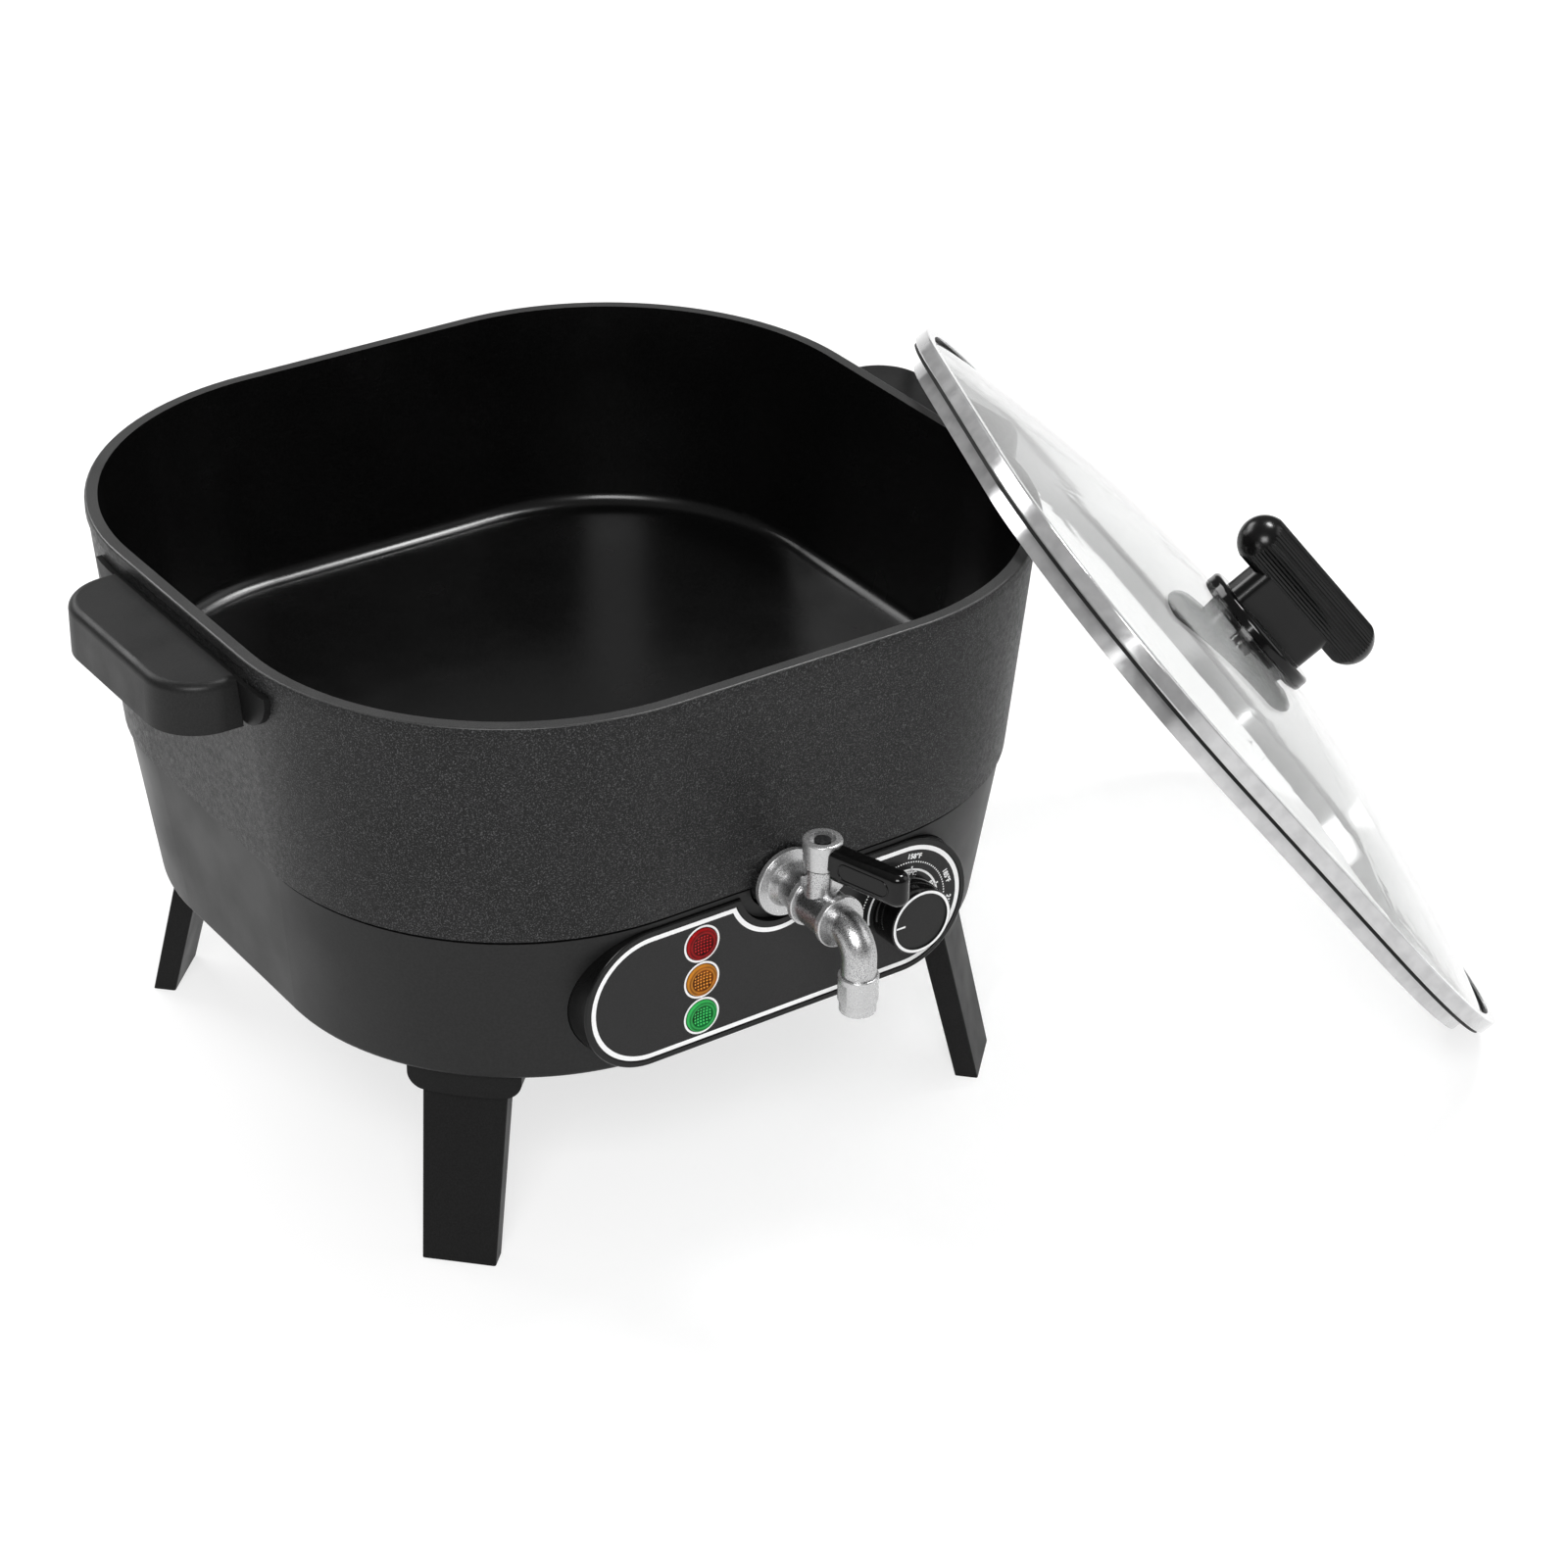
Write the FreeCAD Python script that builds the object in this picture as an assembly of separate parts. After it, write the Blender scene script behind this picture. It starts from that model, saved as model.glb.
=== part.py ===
import FreeCAD
import Part
import math
import os

# Electric wax-melting pot. Millimetres, +Z up, the table at z = 0, front towards -Y,
# origin on the table under the pot's own centre.

V = FreeCAD.Vector
X_AXIS = V(1, 0, 0)
Y_AXIS = V(0, 1, 0)
Z_AXIS = V(0, 0, 1)

# Fits
SEAT_GAP = 0.15         # between fixed pieces that only lie against each other
SCREW_GAP = 0.05        # radial, screw or stud in its hole
RUN_GAP = 0.05          # radial, shaft turning in its bore
MOVE_GAP = 0.4          # between pieces that move past each other
OVERCUT = 2.0           # how far a cutting tool runs past the face it opens

# Pot
RIM_X = 150.0           # half width of the rim
RIM_Y = 147.2           # half depth of the rim
RIM_R = 103.0           # corner radius of the rim
RIM_Z = 218.0           # rim above the table
LIP_HEIGHT = 3.6
LIP_STEP = 0.6
LIP_EDGE = 0.8
WALL_HEIGHT = 85.2      # rim down to the seam
WALL_INSET = 8.2        # taper of the outside down to the seam
MOUTH_INSET = 4.6       # width of the rim's top band
CAVITY_DEPTH = 79.0
CAVITY_INSET = 14.9
CAVITY_FILLET = 6.0

# Base
SEAM_GAP = 1.6
BASE_TOP_INSET = 9.4
BASE_TOP_R = 93.6
BASE_BOTTOM_INSET = 16.3
BASE_BOTTOM_R = 92.1
BASE_BOTTOM_DROP = 146.3    # rim down to the underside of the base
BASE_WALL = 2.6
BASE_EDGE = 1.6
TOP_FLANGE_WIDTH = 15.0
TOP_FLANGE_THICK = 1.6
BOTTOM_FLANGE_WIDTH = 21.7
BOTTOM_FLANGE_THICK = 2.5
GASKET_MARGIN = 1.8         # seam gasket set back from the base's edge
PLATE_MARGIN = 14.0         # bottom plate set back from the base's edge
PLATE_THICK = 1.5
VENT_COUNT = 9
VENT_PITCH = 11.0
VENT_LENGTH = 90.0
VENT_WIDTH = 3.5

# Screws
POT_SCREW_R = 2.0
POT_SCREW_INSET = 20.0
POT_SCREW_GRIP = 4.2
LEG_SCREW_R = 2.0
LEG_SCREW_GRIP = 8.0
PLATE_SCREW_R = 1.5
PLATE_SCREW_EDGE = 5.0      # from the bottom plate's edge
HEAD_RATIO = 1.9            # screw head radius over shank radius
HEAD_HEIGHT_RATIO = 1.2     # screw head height over shank radius

# Legs, measured from the centre of the base's corner arc
LEG_HEAD_SETBACK = 3.0
LEG_HEAD_DEPTH = 14.4
LEG_HEAD_WIDTH = 40.0
LEG_HEAD_HEIGHT = 10.0
LEG_HEAD_CORNER = 6.0
LEG_FOOT_REACH = 8.4        # foot beyond the base's corner
LEG_FOOT_WIDTH = 26.0
LEG_FOOT_THICK = 8.5
LEG_TOP_WIDTH = 30.0
LEG_TOP_THICK = 9.5
LEG_SPLAY = 13.3            # degrees
LEG_EDGE = 0.8
LEG_SCREW_BACK = 10.0       # behind the base's corner
LEG_SCREW_SPREAD = 12.0

# Side handles
GRIP_REACH = 25.5           # beyond the rim
GRIP_HALF = 44.5
GRIP_TOP_DROP = 7.0
GRIP_HEIGHT = 18.5
GRIP_CORNER = 19.0
GRIP_EDGE = 3.0
GRIP_WALL = 3.4
GRIP_ROOF = 4.0
BRACKET_THICK = 2.2
BRACKET_HALF = 60.0
BRACKET_HEIGHT = 15.0
BRACKET_TOP_DROP = 8.5
TAB_HALF_WIDTH = 6.0
TAB_OFFSET = 34.0
TAB_REACH = 11.5
TAB_HEIGHT = 3.0            # underside above the grip's lower edge
GRIP_SCREW_R = 1.6
GRIP_BOSS_R = 4.2
RIVET_R = 2.0
RIVET_DEPTH = 3.0
RIVET_SPACING = 20.0

# Control panel
PANEL_FRONT = 138.6         # front face ahead of the pot's centre
PANEL_DROP = 115.5          # panel centre below the rim
BEZEL_HALF_LENGTH = 78.4
BEZEL_HALF_HEIGHT = 26.6
BEZEL_DEPTH = 18.6
BEZEL_LIP = 2.2
BEZEL_EDGE = 0.7
BEZEL_FIT = 0.25
WEB_THICK = 2.6
NOTCH_R = 16.8
FACE_THICK = 1.2
FACE_RECESS = 0.3
HOOK_WIDTH = 8.0
HOOK_HEIGHT = 1.4
HOOK_DEPTH = 3.0
HOOK_OFFSET = 34.0
LAMP_X = -32.0
LAMP_PITCH = 14.4
LAMP_R = 6.0
LAMP_PROUD = 0.9
LAMP_DOME = 0.6
LAMP_DISH_R = 4.3
LAMP_DISH = 0.45
LAMP_BODY_R = 4.6
LAMP_BODY_LENGTH = 16.0
BLADE_WIDTH = 2.8
BLADE_THICK = 0.8
BLADE_LENGTH = 6.0
DIAL_X = 51.5
KNOB_R = 12.7
KNOB_TAPER = 0.3
KNOB_LENGTH = 10.8
KNOB_EDGE = 0.5
KNOB_RING = 1.3
KNOB_DISH = 0.4
KNOB_BORE_DEPTH = 8.0
SHAFT_R = 3.0
SHAFT_FLAT = 2.2
SHAFT_INSIDE = 6.0
BUSH_R = 4.6
THERMOSTAT_HALF = 14.5
THERMOSTAT_DEPTH = 17.0

# Tap
TAP_DROP = 85.4             # tap axis below the rim
BOSS_R = 11.5
BOSS_FRONT = 140.5
BOSS_BACK = 111.0
BOSS_GAP = 1.0
TAP_GASKET_THICK = 0.8
FLANGE_R = 12.5
FLANGE_THICK = 2.0
FLANGE_EDGE = 0.5
SHOULDER_R = 8.8
SHOULDER_LENGTH = 3.4
BARREL_R = 7.2
COLLAR_R = 9.2
COLLAR_THICK = 2.5
COLLAR_EDGE = 0.5
FIRST_COLLAR = 154.6        # back face ahead of the pot's centre
LAST_COLLAR = 170.6
MID_R = 8.1
SPIGOT_R = 6.0
SPIGOT_BACK = 126.5
WATERWAY_R = 4.0
DRAIN_Y = 119.5
DRAIN_R = 5.0
DRAIN_SUMP = 1.0            # drain hole below the waterway
STEM_Y = 161.5
STEM_R = 5.9
STEM_HEIGHT = 16.3
PLUG_R = 4.6
PLUG_FLOOR = 6.0            # below the tap axis
PLUG_PORT_R = 3.2
PLUG_NECK_R = 3.0
PLUG_NECK_HEIGHT = 6.0
HUB_R = 6.85
HUB_TAPER = 0.5             # narrower at its underside
HUB_HEIGHT = 9.9
HUB_GAP = 0.6               # open joint above the stem
HUB_EDGE = 0.7
HUB_RECESS_R = 4.5
HUB_RECESS_DEPTH = 2.4
HUB_SCREW_R = 1.5
FINGER_THICK = 1.1
FINGER_DROP = 7.1           # below the hub's underside
FINGER_START = -98.0        # degrees about the stem, from +X
FINGER_END = -50.0
STOP_HEIGHT = 3.8
STOP_WIDTH = 11.0           # degrees
STOP_GAP = 3.0              # degrees
VALVE_TURN = 90.0
LEVER_ANGLE = -73.0
LEVER_LENGTH = 35.0
LEVER_WIDTH = 7.8
LEVER_HEIGHT = 12.0
LEVER_RISE = 2.9            # centre above the hub's underside
LEVER_EDGE = 2.7
TANG_WIDTH = 3.6
TANG_HEIGHT = 4.4
TANG_REACH = 16.0
SPOUT_Y = 183.6
SPOUT_R = 6.0
SPOUT_BEND = 8.6
SPOUT_LENGTH = 23.5         # tap axis down to the end inside the nozzle
SPOUT_GRIP = 2.4
NOZZLE_R = 6.9
NOZZLE_TOP = 14.2           # below the tap axis
NOZZLE_HEIGHT = 10.0
NOZZLE_LIP_R = 6.3
NOZZLE_LIP_HEIGHT = 4.2
NOZZLE_MOUTH_R = 4.6
NOZZLE_EDGE = 0.5
NOZZLE_FLAT = 6.45          # half width over the spanner flats
NOZZLE_RING = 2.2           # full round above the flats

# Heating
TUBE_R = 4.0
ELEMENT_R = 78.0
ELEMENT_GAP = 34.0          # degrees left open at the back
COLD_END_R = 3.0
COLD_END_LENGTH = 16.0
ELEMENT_PLATE_INNER = 56.0
ELEMENT_PLATE_OUTER = 92.0
ELEMENT_PLATE_THICK = 1.5
STUD_R = 2.5
STUD_CIRCLE_R = 65.0
STUD_END = 5.5              # stud below its nut's upper face
STUD_ANGLES = (30.0, 150.0, 270.0)
NUT_FLAT = 8.0
NUT_HEIGHT = 4.0
SENSOR_X = 25.0
BULB_R = 3.5
BULB_LENGTH = 70.0
CAPILLARY_R = 0.9
CUTOUT_R = 8.0
CLIP_HALF = 36.0
CLIP_WIDTH = 14.0
CLIP_THICK = 1.5
BLOCK_LENGTH = 40.0
BLOCK_DEPTH = 12.0
BLOCK_HEIGHT = 13.0
BLOCK_X = 24.0
BLOCK_Y = 110.0
GROMMET_R = 8.0
GROMMET_NECK_R = 5.6
GROMMET_BORE_R = 3.6
GROMMET_FLANGE = 2.2
GROMMET_NOSE = 7.0
GROMMET_NOSE_R = 5.2
GROMMET_RISE = 22.0         # above the base's underside
WIRE_R = 1.2
BLOCK_WAYS = 4
BLOCK_SCREW_R = 2.2

# Lid, in its own frame: flange underside at z = 0, knob towards +Z
LID_OVERHANG = 0.5          # flange beyond the pot's rim
FLANGE_HEIGHT = 6.0
SHEET = 0.8
CURL_WIDTH = 4.5
SKIRT_INSET = 7.7
SKIRT_HEIGHT = 7.0
FLANGE_ROUND = 0.7
GLASS_THICK = 3.2
GLASS_RISE = 24.0           # apex above the glass edge
GLASS_SEAT = 6.6            # start of the dome inside the flange's edge
GLASS_STEPS = (1.0, 0.9, 0.76, 0.58, 0.38, 0.2)
GLASS_ROUNDING = 0.9        # how far the dome tends to a circle near its apex
GLASS_GASKET = 0.5
GASKET_SHOW = 0.9
SEAL_INSET = 1.4
SEAL_THICK = 1.3
KNOB_SEAT_R = 26.5
KNOB_SEAT_THICK = 4.2
KNOB_SEAT_EDGE = 1.9
POST_LENGTH = 44.0
POST_WIDTH = 14.5
POST_HEIGHT = 11.0
POST_SINK = 0.5             # post into the bar
POST_CORNER = 5.5
BAR_R = 9.9
BAR_LENGTH = 76.0
BAR_END_GAIN = 0.3          # rounded ends over the ridges
BAR_FLUTES = 44
FLUTE_DEPTH = 0.45
LID_SCREW_R = 2.5
LID_SCREW_GRIP = 12.0
LID_HOLE_R = 4.0
WASHER_R = 14.0
WASHER_THICK = 2.0
LID_TILT = 50.4             # degrees between the lid's axis and the vertical
LID_HEADING = -21.2         # degrees, the way the lid slopes down
LID_SPIN = -2.2             # degrees about the lid's own axis
LID_SIDE = -1.3             # sideways from the slope line through the pot's centre
LID_GAP = 0.4               # lid to pot where it leans
LEAN_STEPS = 24
LEAN_TOLERANCE = 0.02

SEAM_Z = RIM_Z - WALL_HEIGHT
FLOOR_Z = RIM_Z - CAVITY_DEPTH
BASE_TOP = SEAM_Z - SEAM_GAP
BASE_BOTTOM = RIM_Z - BASE_BOTTOM_DROP
BASE_FLOOR = BASE_BOTTOM + BOTTOM_FLANGE_THICK
PANEL_Z = RIM_Z - PANEL_DROP
TAP_Z = RIM_Z - TAP_DROP
LIP_Z = RIM_Z - LIP_HEIGHT
FACE_FRONT = PANEL_FRONT - FACE_RECESS
WEB_FRONT = FACE_FRONT - FACE_THICK
WEB_BACK = WEB_FRONT - WEB_THICK
BEZEL_BACK = PANEL_FRONT - BEZEL_DEPTH
HUB_BOTTOM = TAP_Z + STEM_HEIGHT + HUB_GAP

parts = {}


def box(x0, x1, y0, y1, z0, z1):
    return Part.makeBox(x1 - x0, y1 - y0, z1 - z0, V(x0, y0, z0))


def rod(radius, start, end):
    return Part.makeCylinder(radius, (end - start).Length, start, end - start)


def cone(radius0, radius1, start, end):
    return Part.makeCone(radius0, radius1, (end - start).Length, start, end - start)


def upright(radius, x, y, z0, z1):
    return rod(radius, V(x, y, z0), V(x, y, z1))


def panel_rod(radius, x, z, front, back):
    return rod(radius, V(x, -front, z), V(x, -back, z))


def tap_rod(radius, front, back):
    return panel_rod(radius, 0.0, TAP_Z, front, back)


def join(first, *others):
    return first.fuse(list(others)).removeSplitter()


def cut(shape, *tools):
    return shape.cut(list(tools)).removeSplitter()


def group(shapes):
    return Part.makeCompound(shapes)


def level_edges(shape, z):
    tolerance = 0.001
    return [e for e in shape.Edges
            if abs(e.BoundBox.ZMin - z) < tolerance and abs(e.BoundBox.ZMax - z) < tolerance]


def front_edges(shape, front):
    tolerance = 0.001
    return [e for e in shape.Edges
            if abs(e.BoundBox.YMin + front) < tolerance and abs(e.BoundBox.YMax + front) < tolerance]


def rounded_rect(half_x, half_y, radius, z):
    arcs = []
    for sx, sy, start in ((1, 1, 0), (-1, 1, 90), (-1, -1, 180), (1, -1, 270)):
        centre = V(sx * (half_x - radius), sy * (half_y - radius), z)
        arcs.append(Part.makeCircle(radius, centre, Z_AXIS, start, start + 90))
    edges = []
    for arc, following in zip(arcs, arcs[1:] + arcs[:1]):
        edges.append(arc)
        edges.append(Part.makeLine(arc.Vertexes[-1].Point, following.Vertexes[0].Point))
    return Part.Wire(edges)


def loft(wires, ruled=True):
    return Part.makeLoft(wires, True, ruled)


def extrude(wire, height):
    return Part.Face(wire).extrude(V(0, 0, height))


def screw(radius, seat, into, length):
    head = rod(radius * HEAD_RATIO, seat, seat - into * (radius * HEAD_HEIGHT_RATIO))
    return join(head, rod(radius, seat, seat + into * length))


def cable(points, radius):
    curve = Part.BSplineCurve()
    curve.interpolate(points)
    direction = curve.tangent(curve.FirstParameter)[0]
    profile = Part.Wire(Part.makeCircle(radius, points[0], direction))
    return Part.Wire(curve.toShape()).makePipeShell([profile], True, True)


# Pot

def pot_outline(inset, z):
    return rounded_rect(RIM_X - inset, RIM_Y - inset, RIM_R - inset, z)


def pot_inset(z):
    return LIP_STEP + (WALL_INSET - LIP_STEP) * (LIP_Z - z) / (LIP_Z - SEAM_Z)


def cavity_inset(z):
    return MOUTH_INSET + (CAVITY_INSET - MOUTH_INSET) * (RIM_Z - z) / CAVITY_DEPTH


def pot_wall(z0, z1, offset):
    return loft([pot_outline(pot_inset(z) - offset, z) for z in (z0, z1)])


def on_corners(half_x, half_y):
    return [(sx * half_x, sy * half_y) for sx in (-1, 1) for sy in (-1, 1)]


pot_screw_reach = (RIM_R - POT_SCREW_INSET) * math.sqrt(0.5)
pot_screw_spots = on_corners(RIM_X - RIM_R + pot_screw_reach, RIM_Y - RIM_R + pot_screw_reach)
stud_spots = [(STUD_CIRCLE_R * math.cos(math.radians(a)), STUD_CIRCLE_R * math.sin(math.radians(a)))
              for a in STUD_ANGLES]

element_z = SEAM_Z - SEAT_GAP - TUBE_R
element_plate_top = element_z - TUBE_R - SEAT_GAP
plate_nut_top = element_plate_top - ELEMENT_PLATE_THICK - SEAT_GAP
bulb_z = SEAM_Z - SEAT_GAP - BULB_R
clip_top = bulb_z - BULB_R - SEAT_GAP
clip_nut_top = clip_top - CLIP_THICK - SEAT_GAP

rivet_z = RIM_Z - BRACKET_TOP_DROP - BRACKET_HEIGHT / 2
rivet_slope = (WALL_INSET - LIP_STEP) / (LIP_Z - SEAM_Z)
rivet_seat = BRACKET_THICK + 2 * SEAT_GAP + RIVET_R * HEAD_RATIO * rivet_slope
rivet_spots = (-RIVET_SPACING / 2, RIVET_SPACING / 2)


def make_rivet(y):
    seat = V(RIM_X - pot_inset(rivet_z) + rivet_seat, y, rivet_z)
    return screw(RIVET_R, seat, -X_AXIS, rivet_seat + RIVET_DEPTH)


def rivet_hole(y):
    wall = RIM_X - pot_inset(rivet_z)
    start = V(wall - RIVET_DEPTH - SEAT_GAP, y, rivet_z)
    return rod(RIVET_R + SCREW_GAP, start, start + X_AXIS * (RIVET_DEPTH + rivet_seat + OVERCUT))


def both_sides(shape):
    return [shape, shape.mirror(V(0, 0, 0), X_AXIS)]


def make_pot():
    lip = extrude(pot_outline(0.0, LIP_Z), LIP_HEIGHT)
    lip = lip.makeFillet(LIP_EDGE, level_edges(lip, RIM_Z))
    pot = join(pot_wall(SEAM_Z, LIP_Z, 0.0), lip, tap_rod(BOSS_R, BOSS_FRONT, BOSS_BACK))
    studs = [upright(STUD_R, x, y, plate_nut_top - STUD_END, SEAM_Z + STUD_R) for x, y in stud_spots]
    studs.append(upright(STUD_R, 0.0, 0.0, clip_nut_top - STUD_END, SEAM_Z + STUD_R))
    pot = join(pot, *studs)
    above = RIM_Z + OVERCUT
    cavity = loft([pot_outline(cavity_inset(z), z) for z in (FLOOR_Z, above)])
    cavity = cavity.makeFillet(CAVITY_FILLET, level_edges(cavity, FLOOR_Z))
    tools = [cavity,
             tap_rod(SPIGOT_R + SCREW_GAP, BOSS_FRONT + OVERCUT, SPIGOT_BACK - SEAT_GAP),
             tap_rod(WATERWAY_R, SPIGOT_BACK, DRAIN_Y - WATERWAY_R),
             upright(DRAIN_R, 0.0, -DRAIN_Y, TAP_Z - WATERWAY_R - DRAIN_SUMP, FLOOR_Z + OVERCUT)]
    for x, y in pot_screw_spots:
        depth = POT_SCREW_GRIP + SEAT_GAP
        tools.append(upright(POT_SCREW_R + SCREW_GAP, x, y, SEAM_Z - OVERCUT, SEAM_Z + depth))
    for y in rivet_spots:
        tools.extend(both_sides(rivet_hole(y)))
    return cut(pot, *tools)


parts["pot_vessel"] = make_pot()

# Base

def base_size(z, margin):
    share = (BASE_TOP - z) / (BASE_TOP - BASE_BOTTOM)
    inset = BASE_TOP_INSET + (BASE_BOTTOM_INSET - BASE_TOP_INSET) * share + margin
    radius = BASE_TOP_R + (BASE_BOTTOM_R - BASE_TOP_R) * share - margin
    return inset, radius


def base_outline(z, margin, level=None):
    inset, radius = base_size(z, margin)
    return rounded_rect(RIM_X - inset, RIM_Y - inset, radius, z if level is None else level)


def base_front(x, z, margin):
    inset, radius = base_size(z, margin)
    run = max(abs(x) - (RIM_X - inset - radius), 0.0)
    return RIM_Y - inset - radius + math.sqrt(radius ** 2 - run ** 2)


def stadium(half_length, half_height, front, back):
    reach = half_length - half_height
    low = PANEL_Z - half_height
    high = PANEL_Z + half_height
    corners = [V(-reach, -front, low), V(reach, -front, low),
               V(reach, -front, high), V(-reach, -front, high)]
    edges = [Part.makeLine(corners[0], corners[1]),
             Part.Arc(corners[1], V(half_length, -front, PANEL_Z), corners[2]).toShape(),
             Part.makeLine(corners[2], corners[3]),
             Part.Arc(corners[3], V(-half_length, -front, PANEL_Z), corners[0]).toShape()]
    return Part.Face(Part.Wire(edges)).extrude(V(0, front - back, 0))


def notched(shrink, front, back):
    body = stadium(BEZEL_HALF_LENGTH - shrink, BEZEL_HALF_HEIGHT - shrink, front, back)
    return body.cut(tap_rod(NOTCH_R + shrink, front + OVERCUT, back - OVERCUT))


corner_x = RIM_X - BASE_BOTTOM_INSET - BASE_BOTTOM_R
corner_y = RIM_Y - BASE_BOTTOM_INSET - BASE_BOTTOM_R
corners = {"front_left": (-1, -1), "front_right": (1, -1), "rear_left": (-1, 1), "rear_right": (1, 1)}


def to_corner(shape, corner):
    sx, sy = corners[corner]
    turned = shape.copy()
    turned.rotate(V(0, 0, 0), Z_AXIS, math.degrees(math.atan2(sy, sx)))
    turned.translate(V(sx * corner_x, sy * corner_y, 0))
    return turned


leg_screw_x = BASE_BOTTOM_R - LEG_SCREW_BACK
leg_screw_spots = [(leg_screw_x, -LEG_SCREW_SPREAD), (leg_screw_x, LEG_SCREW_SPREAD)]
plate_screw_x = RIM_X - BASE_BOTTOM_INSET - PLATE_MARGIN - PLATE_SCREW_EDGE
plate_screw_y = RIM_Y - BASE_BOTTOM_INSET - PLATE_MARGIN - PLATE_SCREW_EDGE
plate_screw_spots = [(plate_screw_x, 0), (-plate_screw_x, 0), (0, plate_screw_y), (0, -plate_screw_y)]

grommet_z = BASE_BOTTOM + GROMMET_RISE
grommet_slope = math.atan2(BASE_BOTTOM_INSET - BASE_TOP_INSET, BASE_TOP - BASE_BOTTOM)
grommet_axis = V(0, math.cos(grommet_slope), -math.sin(grommet_slope))
grommet_seat = V(0, base_front(0.0, grommet_z, 0.0), grommet_z)


def grommet_rod(radius, start, end):
    return rod(radius, grommet_seat + grommet_axis * start, grommet_seat + grommet_axis * end)


def make_base():
    shell = loft([base_outline(z, 0.0) for z in (BASE_BOTTOM, BASE_TOP)])
    shell = shell.makeFillet(BASE_EDGE, level_edges(shell, BASE_BOTTOM))
    ceiling = BASE_TOP - TOP_FLANGE_THICK
    tools = [loft([base_outline(z, BASE_WALL) for z in (BASE_FLOOR, ceiling)]),
             extrude(base_outline(BASE_TOP, TOP_FLANGE_WIDTH, ceiling - OVERCUT), 3 * OVERCUT),
             extrude(base_outline(BASE_BOTTOM, BOTTOM_FLANGE_WIDTH, BASE_BOTTOM - OVERCUT), 3 * OVERCUT),
             tap_rod(BOSS_R + BOSS_GAP, BOSS_FRONT + OVERCUT, BOSS_BACK - OVERCUT),
             notched(-BEZEL_FIT, PANEL_FRONT + OVERCUT, BEZEL_BACK - OVERCUT),
             grommet_rod(GROMMET_NECK_R + SEAT_GAP, -BASE_WALL - OVERCUT, OVERCUT)]
    for x, y in pot_screw_spots:
        tools.append(upright(POT_SCREW_R + SCREW_GAP, x, y, ceiling - OVERCUT, BASE_TOP + OVERCUT))
    for x, y in plate_screw_spots:
        tools.append(upright(PLATE_SCREW_R + SCREW_GAP, x, y, BASE_BOTTOM - OVERCUT, BASE_FLOOR + OVERCUT))
    for corner in corners:
        for x, y in leg_screw_spots:
            hole = upright(LEG_SCREW_R + SCREW_GAP, x, y, BASE_BOTTOM - OVERCUT, BASE_FLOOR + OVERCUT)
            tools.append(to_corner(hole, corner))
    return cut(shell, *tools)


def make_seam_gasket():
    ring = extrude(base_outline(BASE_TOP, GASKET_MARGIN), SEAM_GAP)
    tools = [extrude(base_outline(BASE_TOP, TOP_FLANGE_WIDTH - GASKET_MARGIN), SEAM_GAP),
             tap_rod(BOSS_R + BOSS_GAP, BOSS_FRONT + OVERCUT, BOSS_BACK - OVERCUT)]
    for x, y in pot_screw_spots:
        tools.append(upright(POT_SCREW_R + SCREW_GAP, x, y, BASE_TOP - OVERCUT, SEAM_Z + OVERCUT))
    return cut(ring, *tools)


def make_pot_screws():
    seat_z = BASE_TOP - TOP_FLANGE_THICK - SEAT_GAP
    length = SEAM_Z + POT_SCREW_GRIP - seat_z
    return group([screw(POT_SCREW_R, V(x, y, seat_z), Z_AXIS, length) for x, y in pot_screw_spots])


plate_top = BASE_BOTTOM - SEAT_GAP
plate_bottom = plate_top - PLATE_THICK


def make_bottom_plate():
    plate = extrude(base_outline(BASE_BOTTOM, PLATE_MARGIN, plate_bottom), PLATE_THICK)
    relief = box(BASE_BOTTOM_R - LEG_HEAD_SETBACK - LEG_HEAD_DEPTH - MOVE_GAP, BASE_BOTTOM_R,
                 -LEG_HEAD_WIDTH / 2 - MOVE_GAP, LEG_HEAD_WIDTH / 2 + MOVE_GAP,
                 plate_bottom - OVERCUT, plate_top + OVERCUT)
    tools = [to_corner(relief, corner) for corner in corners]
    for i in range(VENT_COUNT):
        x = (i - (VENT_COUNT - 1) / 2) * VENT_PITCH
        tools.append(box(x - VENT_WIDTH / 2, x + VENT_WIDTH / 2, -VENT_LENGTH / 2, VENT_LENGTH / 2,
                         plate_bottom - OVERCUT, plate_top + OVERCUT))
    for x, y in plate_screw_spots:
        tools.append(upright(PLATE_SCREW_R + SCREW_GAP, x, y, plate_bottom - OVERCUT, plate_top + OVERCUT))
    return cut(plate, *tools)


def make_bottom_screws():
    seat_z = plate_bottom - SEAT_GAP
    length = BASE_FLOOR - seat_z
    return group([screw(PLATE_SCREW_R, V(x, y, seat_z), Z_AXIS, length) for x, y in plate_screw_spots])


parts["base_shell"] = make_base()
parts["seam_gasket"] = make_seam_gasket()
parts["pot_screws"] = make_pot_screws()
parts["bottom_plate"] = make_bottom_plate()
parts["bottom_screws"] = make_bottom_screws()

# Legs

leg_head_top = BASE_BOTTOM - SEAT_GAP
leg_head_bottom = leg_head_top - LEG_HEAD_HEIGHT


def leg_section(outer, thick, width, z):
    points = [V(outer - thick, -width / 2, z), V(outer, -width / 2, z),
              V(outer, width / 2, z), V(outer - thick, width / 2, z)]
    return Part.makePolygon(points + points[:1])


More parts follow.
